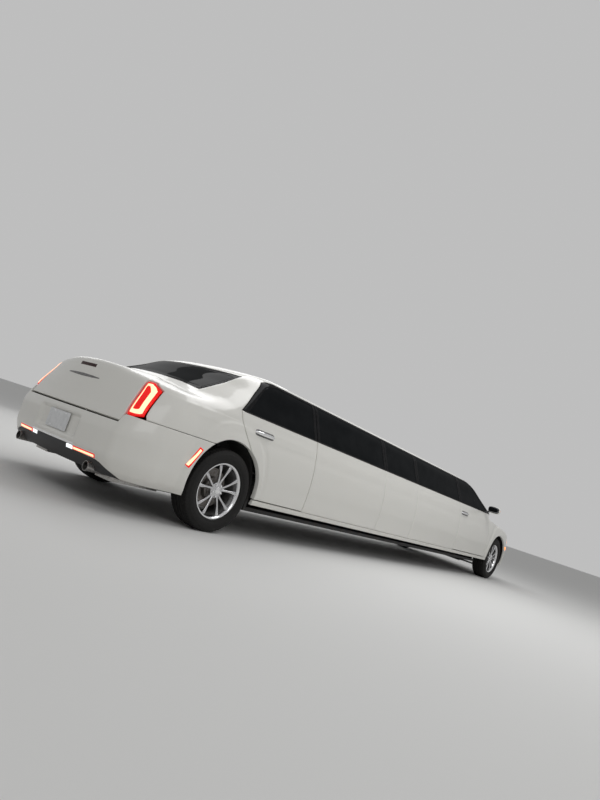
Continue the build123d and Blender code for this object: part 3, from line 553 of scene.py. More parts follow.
# Rows of closed loops from end to end made one skin, its ends gathered to a point; faces turned to point outwards.
def loops(grid, key):
    nu, nv = grid.shape[:2]
    j = np.arange(nv)
    first = np.stack([np.full(nv, nu * nv), (j + 1) % nv, j], 1)
    last = np.stack([np.full(nv, nu * nv + 1), (nu - 1) * nv + j, (nu - 1) * nv + (j + 1) % nv], 1)
    return closedForm(grid, key, grid[[0, -1]].mean(1), np.concatenate([first, last]))


# A rounded block: a sphere's two angles, each sine and cosine raised to a power below 1, so it squares up.
def pebble(centre, radii, key, square=0.55, nu=20, nv=32, bend=None):
    u, v = np.linspace(-np.pi / 2, np.pi / 2, nu)[:, None], circle(nv)[None, :]
    ring = raised(np.cos(u), square)
    grid = np.stack([ring * raised(np.cos(v), square), ring * raised(np.sin(v), square),
                     raised(np.sin(u), square) + 0 * v], -1) * radii
    return loops((grid if bend is None else bend(grid)) + centre, key)


# A tube along a path: at each point a rounded section across the path, wide and tall as given there.
def tube(path, wide, tall, key, count=16, up=(0, 0, 1), square=1.0):
    path = np.array(path, float)
    way = np.gradient(path, axis=0)
    way /= np.linalg.norm(way, axis=1, keepdims=True)
    across = np.cross(way, up)
    across /= np.maximum(np.linalg.norm(across, axis=1, keepdims=True), 1e-9)
    over = np.cross(across, way)
    ca, sa = (raised(f(circle(count)), square) for f in (np.cos, np.sin))
    wide, tall = (np.broadcast_to(size, len(path))[:, None] for size in (wide, tall))
    return loops(path[:, None] + (wide * ca)[..., None] * across[:, None] + (tall * sa)[..., None] * over[:, None], key)


# A ring turned about an axle along Y: (radius, y) points carried round, pushed out by a relief of angle and row.
def turned(profile, centre, key, count=96, relief=None):
    a, (r, y) = circle(count)[:, None], np.array(profile, float).T[:, None, :]
    if relief is not None:
        r = r + relief(a, r, y)
    return closedForm(np.stack([r * np.cos(a), y + 0 * a, r * np.sin(a)], -1) + centre, key, closeU=True)


def disc(profile, centre, key, count=48):  # a turned solid whose ends close on the axle
    p, a = np.array(profile, float), circle(count)
    return loops(np.stack([p[:, :1] * np.cos(a), p[:, 1:] + 0 * a, p[:, :1] * np.sin(a)], -1) + centre, key)


# Rings round a direction that end in a point: each has a radius and a place along the direction.
def rounds(centre, out, rings, key, count=40):
    e1 = np.cross([0, 0, 1.0], out)
    e1 /= np.linalg.norm(e1)
    a = circle(count)[:, None]
    return loops(np.stack([centre + place * np.array(out) + r * (np.cos(a) * e1 + np.sin(a) * np.cross(out, e1))
                           for r, place in rings]), key)


def smoothLine(points, count):  # a soft curve through points: Catmull-Rom, evenly spaced
    p = np.array(points, float)
    p = np.concatenate([2 * p[:1] - p[1:2], p, 2 * p[-1:] - p[-2:-1]])
    t = np.linspace(0, 1, 12, endpoint=False)[:, None]
    a, b, c, d = p[:-3, None], p[1:-2, None], p[2:-1, None], p[3:, None]
    curve = 0.5 * (2 * b + (c - a) * t + (2 * a - 5 * b + 4 * c - d) * t ** 2 + (3 * b - a - 3 * c + d) * t ** 3)
    return evenly(np.concatenate([curve.reshape(-1, p.shape[1]), p[-2:-1]]), count)


print("stage: body form ready")

# Doors and side panels. Lines are given from the rear axle or the front axle; the sizes of posts and gaps are shared.
side = dict(rearDoorFront=rearAxle + 1.158, frontDoorRear=frontAxle - 1.900, frontDoorFront=frontAxle - 0.575,
            panelThickness=0.045, frameThickness=0.03, post=0.048, frameGap=0.0075, postTop=1.4245, seam=0.0015,
            frameTop=1.4275, glassTop=1.405, stretchTop=1.4035, stretchLow=0.3535, stretchPost=0.006)
beltTop = car["belt"] + 0.006
seams = [side["rearDoorFront"], side["rearDoorFront"] + 1.480, side["rearDoorFront"] + 2.378, side["frontDoorRear"]]
doors = dict(
    rearEdge=[(0.176, 0.780), (0.112, 0.857), (0.060, 0.925), (0.030, 0.975), (0.010, 1.020), (0, beltTop)],
    rearFrame=([(-0.002, beltTop), (0.2985, 1.3895), (0.3725, 1.4128), (0.480, 1.4275)],
               [(0.080, beltTop), (0.350, 1.363), (0.420, 1.385), (0.520, 1.405)]),
    frontFrame=([(-1.368, 1.4275), (-1.312, 1.4155), (-1.254, 1.397), (-0.592, 1.0915), (-0.577, beltTop)],
                [(-1.405, 1.405), (-1.350, 1.388), (-1.298, 1.364), (-0.710, 1.092), (-0.665, beltTop)]))


def sidePanel(lines, nu, nv, thickness=side["panelThickness"]):  # a painted patch between four lines of the side view
    return skin(patch(lines, "side", nu, nv), thickness=thickness)


def frameStrip(outerLine, innerLine, count):  # the black frame of a window between two lines
    return laid(outerLine, innerLine, "side", "blackGloss", 0.0, count, 3, side["frameThickness"], inner="trim")


def postStrip(outer, inner, top=side["postTop"], count=24):
    return frameStrip([(outer, beltTop), (outer, top)], [(inner, beltTop), (inner, top)], count)


# A door's sheets: its panel up to the belt, the upright post of its window, and the frame over it.
def rearDoorSheets():
    low, front = car["doorBottom"], side["rearDoorFront"] - car["gap"]
    arch = arcLine(rearAxle, car["rearArchZ"], car["archRadius"] + 0.001, -4.3, 61.5)
    rear = arch + beside(rearAxle, doors["rearEdge"])
    f = side["rearDoorFront"] - side["frameGap"]
    top, under = (beside(rearAxle, line) for line in doors["rearFrame"])
    return [sidePanel([[(rear[0][0], low), (front, low)], [(front, low), (front, beltTop)],
                       [(rearAxle, beltTop), (front, beltTop)], rear], 70, 60), postStrip(f, f - side["post"]),
            frameStrip(top + [(f, side["frameTop"])], under + [(f, side["glassTop"])], 60)]


def frontDoorSheets():
    rear, front = side["frontDoorRear"] + car["gap"], side["frontDoorFront"] - car["gap"]
    r = side["frontDoorRear"] + side["frameGap"]
    top, under = (beside(frontAxle, line) for line in doors["frontFrame"])
    return [sidePanel(box(rear, front, car["doorBottom"], beltTop), 40, 30), postStrip(r, r + side["post"]),
            frameStrip([(r, side["frameTop"])] + top, [(r, side["glassTop"])] + under, 60)]


def stretchSheets():  # panels and posts from seam to seam, and one frame along the roof
    sheets = []
    for start, stop in zip(seams, seams[1:]):
        a = start + (car["gap"] if start == seams[0] else side["seam"])
        b = stop - (car["gap"] if stop == seams[-1] else side["seam"])
        sheets.append(sidePanel(box(a, b, side["stretchLow"], beltTop), 30, 28))
        inset = side["frameGap"] - side["stretchPost"]
        for place in (start + inset, stop - inset - side["post"]):
            sheets.append(postStrip(place + side["post"], place, side["stretchTop"], 20))
    ends = seams[0] + 0.004, seams[-1] - 0.004
    return sheets + [frameStrip([(x, car["railZ"]) for x in ends], [(x, side["glassTop"]) for x in ends], 80)]


pair("skin_door_rear", rearDoorSheets(), "door_rear_{}", ["door_rear_{}"])
pair("skin_door_front", frontDoorSheets(), "door_front_{}", ["door_front_{}"])
pair("skin_stretch", stretchSheets(), "body", ["stretch_panel_{}"])
print("stage: side panels")

# Roof, screens and pillars: half width and height of the headers and of the pillars' feet.
screens = dict(rearTop=(0.600, 1.378), rearFoot=(0.662, 1.112), frontTop=(0.622, 1.398), frontFoot=(0.752, 1.068),
               railRear=rearAxle + 0.480, railFront=frontAxle - 1.360,
               frontPillar=[(-0.571, beltTop), (-0.583, 1.096), (-1.250, 1.404), (-1.360, car["railZ"])],
               rearPillar=[(-0.008, beltTop), (0.296, 1.3925), (0.370, 1.4165), (0.480, car["railZ"])])


def levelAcross(half, z, view, count=80):  # a level line from the right side to the left
    return drawn([(-half, z), (half, z)], view, count)


def railCorner(x, header):  # the roof rail's end, the line on to the header, and the line across the roof
    point = spot(x, car["railZ"], "side")
    across = drawn([(point[0], point[1]), (point[0], -point[1])], "top", 80)
    across[0], across[-1] = point, flip(point)
    return bridge(point, header[0], 30), across


rearHeader = levelAcross(*screens["rearTop"], "rearScreen")
frontHeader = levelAcross(*screens["frontTop"], "windscreen")
pillarTop, rearAcross = railCorner(screens["railRear"], rearHeader)
frontPillarTop, frontAcross = railCorner(screens["railFront"], frontHeader)
roofRail = drawn([(screens["railRear"], car["railZ"]), (screens["railFront"], car["railZ"])], "side", 120)
roofSheets = [skin(patchGrid(roofRail, frontAcross, roofRail * [1, -1, 1], rearAcross, 90, 44), (0, 0, 0, 0))]
for header, top, acrossRoof in ((rearHeader, pillarTop, rearAcross), (frontHeader, frontPillarTop, frontAcross)):
    roofSheets.append(skin(patchGrid(header, flip(top), acrossRoof, top[::-1], 44, 16), (1, 0, 0, 0)))
outerLine = drawn(beside(frontAxle, screens["frontPillar"]), "side", 70)
innerLine = drawn([(-y, z) for y, z in (screens["frontFoot"], screens["frontTop"])], "windscreen", 70)
roofSheets += both(skin(between(outerLine, innerLine, 40, 6), (1, 0, 1, 0)))
build("skin_roof", roofSheets, "body", ["roof_shell"])

# The quarter: its door edge from the rear axle, and its edge beside the tail lamp.
quarter = dict(doorEdge=[(0.192, 0.7515), (0.168, 0.775), (0.104, 0.852), (0.052, 0.920), (0.022, 0.972),
                         (0.002, 1.018), (-0.008, beltTop)],
               lampEdge=[(-0.836, 0.745), (-0.798, 0.974), (-0.700, 1.028), (-0.652, 1.024)],
               seamZ=0.7255, seamCentre=-0.245, seamEnd=-0.249, archSpan=(126.4, 61.0), lidHalf=0.652,
               lidFront=-0.578, corner=(-0.22, 1.052))


# The quarter is two patches: the fender round the arch up to the lid and the belt, and the pillar up to the roof.
def quarterSheets():
    x, k = rearAxle, quarter
    foot = drawn([(-y, z) for y, z in (screens["rearFoot"], screens["rearTop"])], "rearScreen")
    doorEdge = arcLine(x, car["rearArchZ"], car["archRadius"], *k["archSpan"])
    seam = endLine(x + k["seamCentre"], [(0, k["seamZ"]), (90, k["seamZ"])])
    lampFoot = spot(*k["lampEdge"][0], "rear")
    along = seam[(seam[:, 1] < 0) & (seam[:, 0] > lampFoot[0]) & (seam[:, 0] < x + k["seamEnd"])][::-1]
    bottom = chain(along, drawn(doorEdge, "side", 50))
    right = drawn([doorEdge[-1]] + beside(x, k["doorEdge"]), "side")
    left = chain(bottom[:1], drawn(k["lampEdge"], "rear"))
    lidEdge = drawn([(left[-1][0], -k["lidHalf"]), (x + k["lidFront"], -k["lidHalf"])], "top", 30)
    corner = drawn([(x + k["corner"][0], k["corner"][1]), (x - 0.008, beltTop)], "side", 24)
    toCorner = bridge(foot[0], corner[0], 24)
    top = chain(lidEdge, bridge(lidEdge[-1], foot[0], 16), toCorner, corner)
    lower = patchGrid(bottom, right, top, left, 120, 64)
    pillarLine = drawn(beside(x, screens["rearPillar"]), "side")
    pillar = patchGrid(chain(toCorner, corner), pillarLine, pillarTop[::-1], foot, 44, 44)
    return [skin(lower, (1, 1, 0, 1)), skin(pillar, (0, 1, 0, 1))]


pair("skin_quarter", quarterSheets(), "body", ["quarter_panel_{}"])

# Glass: panes a little inside the body's form, given from the axles, reaching under their frames.
panes = dict(depth=0.005, thickness=0.006, under=0.012, low=1.066, high=1.412, fixedInset=0.045,
             rearEdge=[(0.055, 1.066), (0.345, 1.375), (0.41, 1.398), (0.50, 1.412)],
             frontEdge=[(-0.635, 1.066), (-0.68, 1.088), (-1.290, 1.372), (-1.385, 1.412)],
             rearFoot=[(-0.668, 1.108), (-0.45, 1.135), (-0.2, 1.147), (0, 1.150), (0.2, 1.147), (0.45, 1.135),
                       (0.668, 1.108)], rearTop=(0.606, 1.382),
             windscreenFoot=[(-0.758, 1.064), (0.758, 1.064)], windscreenTop=(0.628, 1.402))


def pane(lines, view="side", key="tintedGlass", nu=24, nv=20):
    return sheetFrom(patch(lines, view, nu, nv, panes["depth"]), panes["thickness"], key, None, (0, 0, 0, 0))


def screenLines(foot, top):  # a screen's four lines from its foot line and the half width and height of its top
    half, z = top
    return foot, [foot[-1], (half, z)], [(-half, z), (half, z)], [foot[0], (-half, z)]


def paneSheets():  # glass of the rear doors, of the front doors, and between them
    low, high = panes["low"], panes["high"]
    edge = beside(rearAxle, panes["rearEdge"])
    f = side["rearDoorFront"] - side["frameGap"] - side["post"] + panes["under"]
    rear = pane([[edge[0], (f, low)], [(f, low), (f, high)], [edge[-1], (f, high)], edge])
    edge = beside(frontAxle, panes["frontEdge"])
    r = side["frontDoorRear"] + side["frameGap"] + side["post"] - panes["under"]
    front = pane([[(r, low), edge[0]], edge, [(r, high), edge[-1]], [(r, low), (r, high)]])
    inset = panes["fixedInset"]
    fixed = [pane(box(a + inset, b - inset, low, high), nu=20) for a, b in zip(seams, seams[1:])]
    return rear, front, fixed


rearDoorPane, frontDoorPane, fixedPanes = paneSheets()
pair("pane_rear", [rearDoorPane], "door_rear_{}", ["glass_rear_{}"])
pair("pane_front", [frontDoorPane], "door_front_{}", ["glass_front_{}"])
rearPane = pane(screenLines(panes["rearFoot"], panes["rearTop"]), "rearScreen", nu=44)
build("pane_fixed", both(*fixedPanes) + [rearPane], "body", ["fixed_glass"])
build("pane_windscreen", [pane(screenLines(panes["windscreenFoot"], panes["windscreenTop"]), "windscreen", "clearGlass",
                               44, 28)], "body", ["windscreen"])
print("stage: roof, quarters, glass")

# Boot lid, rear bumper and valance. The number plate's recess: height, half width, half height, depth.
tailEnd = dict(lidHalf=0.6435, lidLow=(0.700, 0.668), lidKnee=(0.700, 0.728), lidTop=1.016, lidFront=rearAxle - 0.585,
               bumperTop=0.7215, bumperMiddle=0.652, notch=0.712, seamCentre=rearAxle - 0.247, seamEnd=-0.716,
               archSpan=(199.7, 126.7), plate=(0.515, 0.300, 0.086, 0.028), centre=rearAxle - 0.388,
               valanceZ=0.2495, valanceSpan=slice(44, 197), deckHalf=0.652, deckFront=rearAxle - 0.577,
               lowerEdge=[(0, 0.252), (33, 0.252), (44, 0.325), (47, 0.336), (62, 0.340), (65, 0.370), (90, 0.370)])


def lidSheet():  # one patch: its foot across the car, and sides that turn from the rear face on to the deck
    k = tailEnd
    (lowHalf, lowZ), (kneeHalf, kneeZ), half = k["lidLow"], k["lidKnee"], k["lidHalf"]
    edge = drawn([(-lowHalf, lowZ), (-kneeHalf, kneeZ), (-half, k["lidTop"])], "rear")
    left = chain(edge, drawn([(edge[-1][0] + 0.012, -half), (k["lidFront"], -half)], "top", 40))
    front = drawn([(k["lidFront"], -half), (k["lidFront"], half)], "top", 120)
    grid = patchGrid(levelAcross(lowHalf, lowZ, "rear", 120), left * [1, -1, 1], front, left, 72, 60)
    return skin(grid, thickness=0.030)


def plateRecess(p):  # depth of the number plate's recess, with sloped sides
    z, half, tall, depth = tailEnd["plate"]
    inside = softStep(half - np.abs(p[..., 1]), 0.05) * softStep(tall - np.abs(p[..., 2] - z), 0.035)
    return depth * inside * (p[..., 0] < -4.2)


def rearBumperSheet():  # one patch round the tail from arch to arch, notched under the lid
    k = tailEnd
    top, middle, notch = k["bumperTop"], k["bumperMiddle"], k["notch"]
    seam = endLine(k["seamCentre"], [(0, top), (90, top)])
    seam = seam[seam[:, 1] < k["seamEnd"]]
    across = drawn([(-notch, top), (-notch, middle), (notch, middle), (notch, top)], "rear", 160)
    arch = drawn(arcLine(rearAxle, car["rearArchZ"], car["archRadius"], *k["archSpan"], 60), "side")
    foot, top = endLine(k["centre"], k["lowerEdge"]), chain(seam, across, flip(seam))
    return skin(patchGrid(foot, arch * [1, -1, 1], top, arch, 200, 50), relief=plateRecess)


build("skin_boot_lid", [lidSheet()], "boot_lid", ["boot_lid"])
build("skin_bumper_rear", [rearBumperSheet()], "body", ["bumper_rear"])
valanceTop, valanceLow = (endLine(tailEnd["centre"], heights)[tailEnd["valanceSpan"]] for heights in (
    [(a, z - 0.003) for a, z in tailEnd["lowerEdge"]], [(0, tailEnd["valanceZ"]), (90, tailEnd["valanceZ"])]))
build("skin_valance", [sheetFrom(strip(valanceLow, valanceTop, 90, 12, 0.004), 0.02, "blackPlastic")], "body",
      ["valance_rear"])
deckEdge = drawn([(tailEnd["deckFront"], s * tailEnd["deckHalf"]) for s in (-1, 1)], "top", 100)
deckGrid = between(deckEdge, drawn(panes["rearFoot"], "rearScreen", 100), 60, 12)
build("skin_deck", [skin(deckGrid, (1, 0, 0, 0), 0.02)], "body", ["rear_deck_trim"])

# Tail lamps: the lens between four lines of the rear view, and the light loop on it.
lamp = dict(foot=[(-0.716, 0.730), (-0.775, 0.730), (-0.826, 0.746)],
            outer=[(-0.826, 0.746), (-0.790, 0.970), (-0.703, 1.019)],
            top=[(-0.657, 1.016), (-0.703, 1.019)], inner=[(-0.716, 0.730), (-0.657, 1.016)], sunk=0.004, rib=0.008,
            loopOut=[(-0.672, 1.000), (-0.702, 1.004), (-0.744, 0.984), (-0.774, 0.958), (-0.809, 0.762),
                     (-0.800, 0.752), (-0.772, 0.746), (-0.728, 0.746), (-0.672, 1.000)],
            loopIn=[(-0.684, 0.978), (-0.702, 0.982), (-0.724, 0.964), (-0.744, 0.938), (-0.775, 0.792),
                    (-0.770, 0.784), (-0.758, 0.779), (-0.7335, 0.779), (-0.684, 0.978)])


def lampRelief(p):  # the lens lies under the paint, with fine upright ribs
    return lamp["sunk"] + 0.0006 * np.sin(p[..., 1] * 2 * np.pi / lamp["rib"])


lens = patch([lamp[k] for k in ("foot", "outer", "top", "inner")], "rear", 40, 60)
lightLoop = loopStrip(lamp["loopOut"], lamp["loopIn"], "rear", "lightLoop", -0.001)
build("lamps_tail", both(sheetFrom(lens, 0.02, "redLens", "trim", relief=lampRelief), lightLoop), "body",
      ["tail_lamps"])

# Slim pieces at the rear: lower and upper line, view, finish, how far proud, and counts along and across.
rearTrims = dict(
    strip=([(-0.335, 0.371), (0.335, 0.371)], [(-0.335, 0.388), (0.335, 0.388)], "rear", "chrome", 0.003, 70),
    reverse=([(-0.330, 0.338), (-0.245, 0.338)], [(-0.330, 0.366), (-0.245, 0.366)], "rear", "whiteLamp", 0.0, 16),
    redBar=([(-0.603, 0.345), (-0.347, 0.345)], [(-0.599, 0.363), (-0.347, 0.363)], "rear", "lightLoop", 0.003, 40),
    redFrame=([(-0.616, 0.340), (-0.336, 0.340)], [(-0.611, 0.373), (-0.336, 0.373)], "rear", "redLens", 0.001, 40),
    markerFrame=(beside(rearAxle, [(-0.484, 0.490), (-0.438, 0.474)]),
                 beside(rearAxle, [(-0.396, 0.662), (-0.350, 0.646)]), "side", "redLens", 0.001, 10, 24),
    markerCore=(beside(rearAxle, [(-0.474, 0.500), (-0.450, 0.492)]),
                beside(rearAxle, [(-0.391, 0.645), (-0.367, 0.637)]), "side", "lightLoop", 0.0035, 8, 24),
    highLamp=([(-0.122, 1.000), (0.122, 1.000)], [(-0.118, 1.031), (0.118, 1.031)], "rear", "redDark", 0.0010, 40))
badgeLow = [(-0.235, 0.917), (-0.13, 0.911), (0, 0.908), (0.13, 0.911), (0.235, 0.917)]
badgeHigh = [(y, 2 * 0.921 - z) for y, z in badgeLow]
trims = {name: laid(*row) for name, row in rearTrims.items()}
build("strip_bumper", [trims["strip"]], "body")
build("lamps_reverse", both(trims["reverse"]), "body")
build("lamps_low", both(trims["redBar"], trims["redFrame"]), "body")
build("markers_rear", both(trims["markerFrame"], trims["markerCore"]), "body")
build("lamp_high", [trims["highLamp"]], "boot_lid")
build("badge_blank", [laid(badgeLow, badgeHigh, "rear", "alloyDark", 0.003, 60, 6)], "boot_lid", slot="chrome")

# The blank number plate: a flat sheet with rounded corners, rolled at its rim, and four screw heads.
plate = dict(half=(0.160, 0.075), corner=0.012, place=(-4.4525, 0.515), thickness=0.003, holes=(0.089, 0.0605),
             screw=0.006)


def roundedDisc(halfY, halfZ, corner, rings, count=96):  # rings of a rounded rectangle, each with its scale and place
    a, (scale, x) = circle(count), np.array(rings).T[:, :, None]
    outY, outZ = (np.sign(f) * (half - corner) * (np.abs(f) > 1e-9) + corner * f
                  for f, half in ((np.cos(a), halfY), (np.sin(a), halfZ)))
    return np.stack([x + 0 * a, scale * outY, scale * outZ], -1)


def plateSheets():
    k, t = plate, plate["thickness"]
    x, z = k["place"][0] - t, k["place"][1]
    rings = [(0.5, 0), (0.97, 0), (1.0, 0.0005), (1.0, t), (0.5, t)]
    head = roundedDisc(k["screw"], k["screw"], k["screw"], [(0.4, -0.0028), (0.8, -0.002), (1.0, 0.0)], 16)
    y, up = k["holes"]
    screws = [loops(head + [x, sy * y, z + sz * up], "chrome") for sy in (-1, 1) for sz in (-1, 1)]
    return [loops(roundedDisc(*k["half"], k["corner"], rings) + [x - 0.0005, 0, z], "plate")] + screws


build("number_plate", plateSheets(), "body")
print("stage: rear end")

# Sills, fenders, bonnet, cowl and front bumper.
front = dict(sillRear=((0.404, 0.3055), (0.4105, 0.3505)), sillFront=((-0.409, 0.3055), (-0.4125, 0.3505)),
             bonnetHalf=0.7165, bonnetBack=frontAxle - 0.330, bonnetLow=0.835, fenderTop=0.7285, fenderBack=-0.571,
             lampBack=frontAxle + 0.480, seamZ=0.628, bumperTop=0.8235, tipZ=0.8265, low=0.252,
             centre=frontAxle + 0.396, grilleTop=(0.365, 0.800), grilleLow=(0.325, 0.450),
             cheek=(0.450, 0.700, 0.3535), cowl=(-0.3535, 0.726), fenderArch=(180.9, 40.6), bumperArch=(-15.2, 40.4),
             fenderTopStart=frontAxle - 0.322, lampFoot=[(-0.900, 0.668), (-0.560, 0.650), (-0.450, 0.700)])


def frontArch(start, stop):  # a span of the front wheel arch
    return arcLine(frontAxle, car["frontArchZ"], car["archRadius"], start, stop, 40)


# The fender is two patches: its side round the arch up to the bonnet, and the tip over the head lamp.
def fenderSheets():
    k, x, y = front, frontAxle + front["fenderBack"], -front["fenderTop"]
    foot = drawn([(x, side["stretchLow"])] + frontArch(*k["fenderArch"]) + [(k["lampBack"], k["seamZ"])], "side", 160)
    top = drawn([(k["fenderTopStart"], y), (k["lampBack"], y)], "top")
    back = drawn([(x, side["stretchLow"]), (x, beltTop)], "side")
    over = chain(bridge(spot(x, beltTop, "side"), top[0]), top)
    grid = patchGrid(foot, bridge(foot[-1], top[-1]), over, back, 90, 36)
    tip = endLine(k["centre"], [(0, k["tipZ"]), (90, k["tipZ"])], nose=True)
    tip = tip[(tip[:, 1] < y) & (tip[:, 0] > k["lampBack"])]
    tipTop = drawn([(k["lampBack"], y), (tip[-1, 0] - 0.004, y)], "top", 30)
    tipGrid = patchGrid(tip, bridge(tip[-1], tipTop[-1], 4), tipTop, bridge(tip[0], tipTop[0], 12), 30, 10)
    return [skin(grid, (1, 0, 1, 1), 0.026), skin(tipGrid, (1, 0, 1, 0), 0.026)]


def bonnetSheet():  # one patch from a level line over the grille back to the cowl
    b, back = front["bonnetHalf"], front["bonnetBack"]
    noseLine = levelAcross(b, front["bonnetLow"], "front", 120)
    edge = chain(noseLine[:1], drawn([(noseLine[0][0] - 0.02, -b), (back, -b)], "top"))
    return skin(patchGrid(noseLine, edge * [1, -1, 1], drawn([(back, -b), (back, b)], "top", 80), edge, 72, 56),
                thickness=0.026)


# The front bumper: a corner from the arch to the grille with its cheek, mirrored, and a bar over and under the grille.
def noseSheets():
    k = front
    (topHalf, topZ), (lowHalf, lowZ), (cheekY, cheekZ, cheekIn) = k["grilleTop"], k["grilleLow"], k["cheek"]
    bottom = endLine(k["centre"], [(0, k["low"]), (90, k["low"])], nose=True)
    bottom = bottom[bottom[:, 1] < -lowHalf - 0.01]
    left = drawn(frontArch(*k["bumperArch"]) + [(k["lampBack"] - 0.001, k["seamZ"] - 0.004)], "side", 80)
    lampLine = drawn(k["lampFoot"], "front")
    cheekFoot = drawn([(-cheekY, cheekZ), (-cheekIn, cheekZ)], "front", 12)
    right = drawn([(-lowHalf, k["low"]), (-lowHalf, lowZ), (-cheekIn, cheekZ)], "front")
    corner = patchGrid(bottom, right, chain(bridge(left[-1], lampLine[0], 12), lampLine, cheekFoot), left, 70, 40)
    high = k["bumperTop"]
    cheek = patch([[(-cheekY, cheekZ), (-cheekIn, cheekZ)], [(-cheekIn, cheekZ), (-topHalf, topZ)],
                   [(-cheekY, high), (-topHalf, high)], [(-cheekY, cheekZ), (-cheekY, high)]], "front", 10, 14,
                  counts=(12,) * 4)
    brow = patch(box(-topHalf, topHalf, topZ, high), "front", 50, 4, counts=(60, 6, 60, 6))
    chin = patch(box(-lowHalf, lowHalf, k["low"], lowZ), "front", 40, 20, counts=(60, 20, 60, 20))
    return both(skin(corner, (1, 0, 0, 1)), skin(cheek, (0, 0, 0, 0))) + [skin(g, (0, 0, 0, 0)) for g in (brow, chin)]


rearFoot, rearTop = beside(rearAxle, front["sillRear"])
frontFoot, frontTop = beside(frontAxle, front["sillFront"])
sill = sidePanel([[rearFoot, frontFoot], [frontFoot, frontTop], [rearTop, frontTop], [rearFoot, rearTop]], 120, 6,
                 0.03)
build("skin_sills", both(sill), "body", ["sills"])
pair("skin_fender", fenderSheets(), "body", ["fender_{}"])
build("skin_bonnet", [bonnetSheet()], "bonnet", ["bonnet"])
cowlX, cowlHalf = frontAxle + front["cowl"][0], front["cowl"][1]
cowlGrid = between(drawn([(cowlX, -cowlHalf), (cowlX, cowlHalf)], "top"), drawn(panes["windscreenFoot"], "windscreen"),
                   60, 8, 0.006)
build("skin_cowl", [sheetFrom(cowlGrid, 0.02, "blackPlastic")], "body", ["cowl"])
build("skin_bumper_front", noseSheets(), "body", ["bumper_front"])
print("stage: front end")

# Wheels: sizes of tyre, rim, spokes and tread. Profiles are (radius, place along the axle).
wheel = dict(height=0.355, halfWidth=0.1175, frontTrack=0.8055, rearTrack=0.810, rim=0.1025, pairs=5, lean=15.5,
             hubLean=9.0, spokeRadii=(0.046, 0.222), spokeWide=(0.0115, 0.0095, 0.0160, 0.013),
             spokeTall=(0.016, 0.013, 0.011), grooves=(-0.052, -0.018, 0.018, 0.052), grooveHalf=0.0045,
             grooveDepth=0.007, blocks=72, treadHalf=0.0935, crown=0.0042, nuts=5, nutCircle=0.0505)


# Tread: four straight grooves and slanted cuts between blocks, cut into the outer band of the tyre.
def treadRelief(a, r, y):
    cut = np.zeros(np.broadcast(a, r).shape)
    for g in wheel["grooves"]:
        cut = np.maximum(cut, softStep(wheel["grooveHalf"] - np.abs(y - g), 0.003) + 0 * a)
    wave = np.abs(((a * wheel["blocks"] / (2 * np.pi) + y * 14 * np.sign(y)) % 1) - 0.5)
    cut = np.maximum(cut, softStep(0.10 - wave, 0.08) * (np.abs(y) > 0.058) * 0.8)
    return -wheel["grooveDepth"] * cut * (r > 0.3465) * (np.abs(y) < 0.095)


def tyreSheet(centre):  # one closed profile: side wall, tread with a slight crown, the other wall, and the inside
    w, half = wheel["halfWidth"], wheel["treadHalf"]
    wall = np.array([(0.2285, -0.078), (0.229, -0.0862), (0.2415, -0.0865), (0.2432, -0.098), (0.252, -0.1085),
                     (0.262, -0.1100), (0.264, -0.1118), (0.285, -w), (0.300, -w), (0.318, -0.1145), (0.320, -0.1122),
                     (0.334, -0.1065), (0.344, -0.0985)])
    y = np.linspace(-half, half, 66)
    tread = np.stack([0.355 - wheel["crown"] * (np.abs(y) / half) ** 3.2, y], 1)
    inner = np.array([(0.250, 0.078), (0.290, 0.104), (0.330, 0.090), (0.339, 0.050)])
    return turned(np.concatenate([wall, tread, (wall * [1, -1])[::-1], inner, (inner * [1, -1])[::-1]]), centre,
                  "rubber", 288, treadRelief)


def spokes(centre):  # slim arms in pairs that part towards the rim and bow outwards
    k, t = wheel, np.linspace(0, 1, 26)
    start, stop = k["spokeRadii"]
    r = start + (stop - start) * t
    wide, tall = np.interp(t, [0, 0.55, 0.9, 1], k["spokeWide"]), np.interp(t, [0, 0.5, 1], k["spokeTall"])
    depth = 0.030 - k["rim"] - 0.016 * np.sin(t * np.pi / 2) ** 1.5
    for number in range(k["pairs"]):
        for lean in (-1, 1):
            part = np.radians(k["hubLean"] + (k["lean"] - k["hubLean"]) * t ** 0.8)
            angle = radians(90 + number * 360 / k["pairs"]) + lean * part
            path = np.stack([r * np.cos(angle), depth + tall, r * np.sin(angle)], 1) + centre
            yield tube(path, wide, tall, "alloy", 14, (0, -1, 0), 0.62)


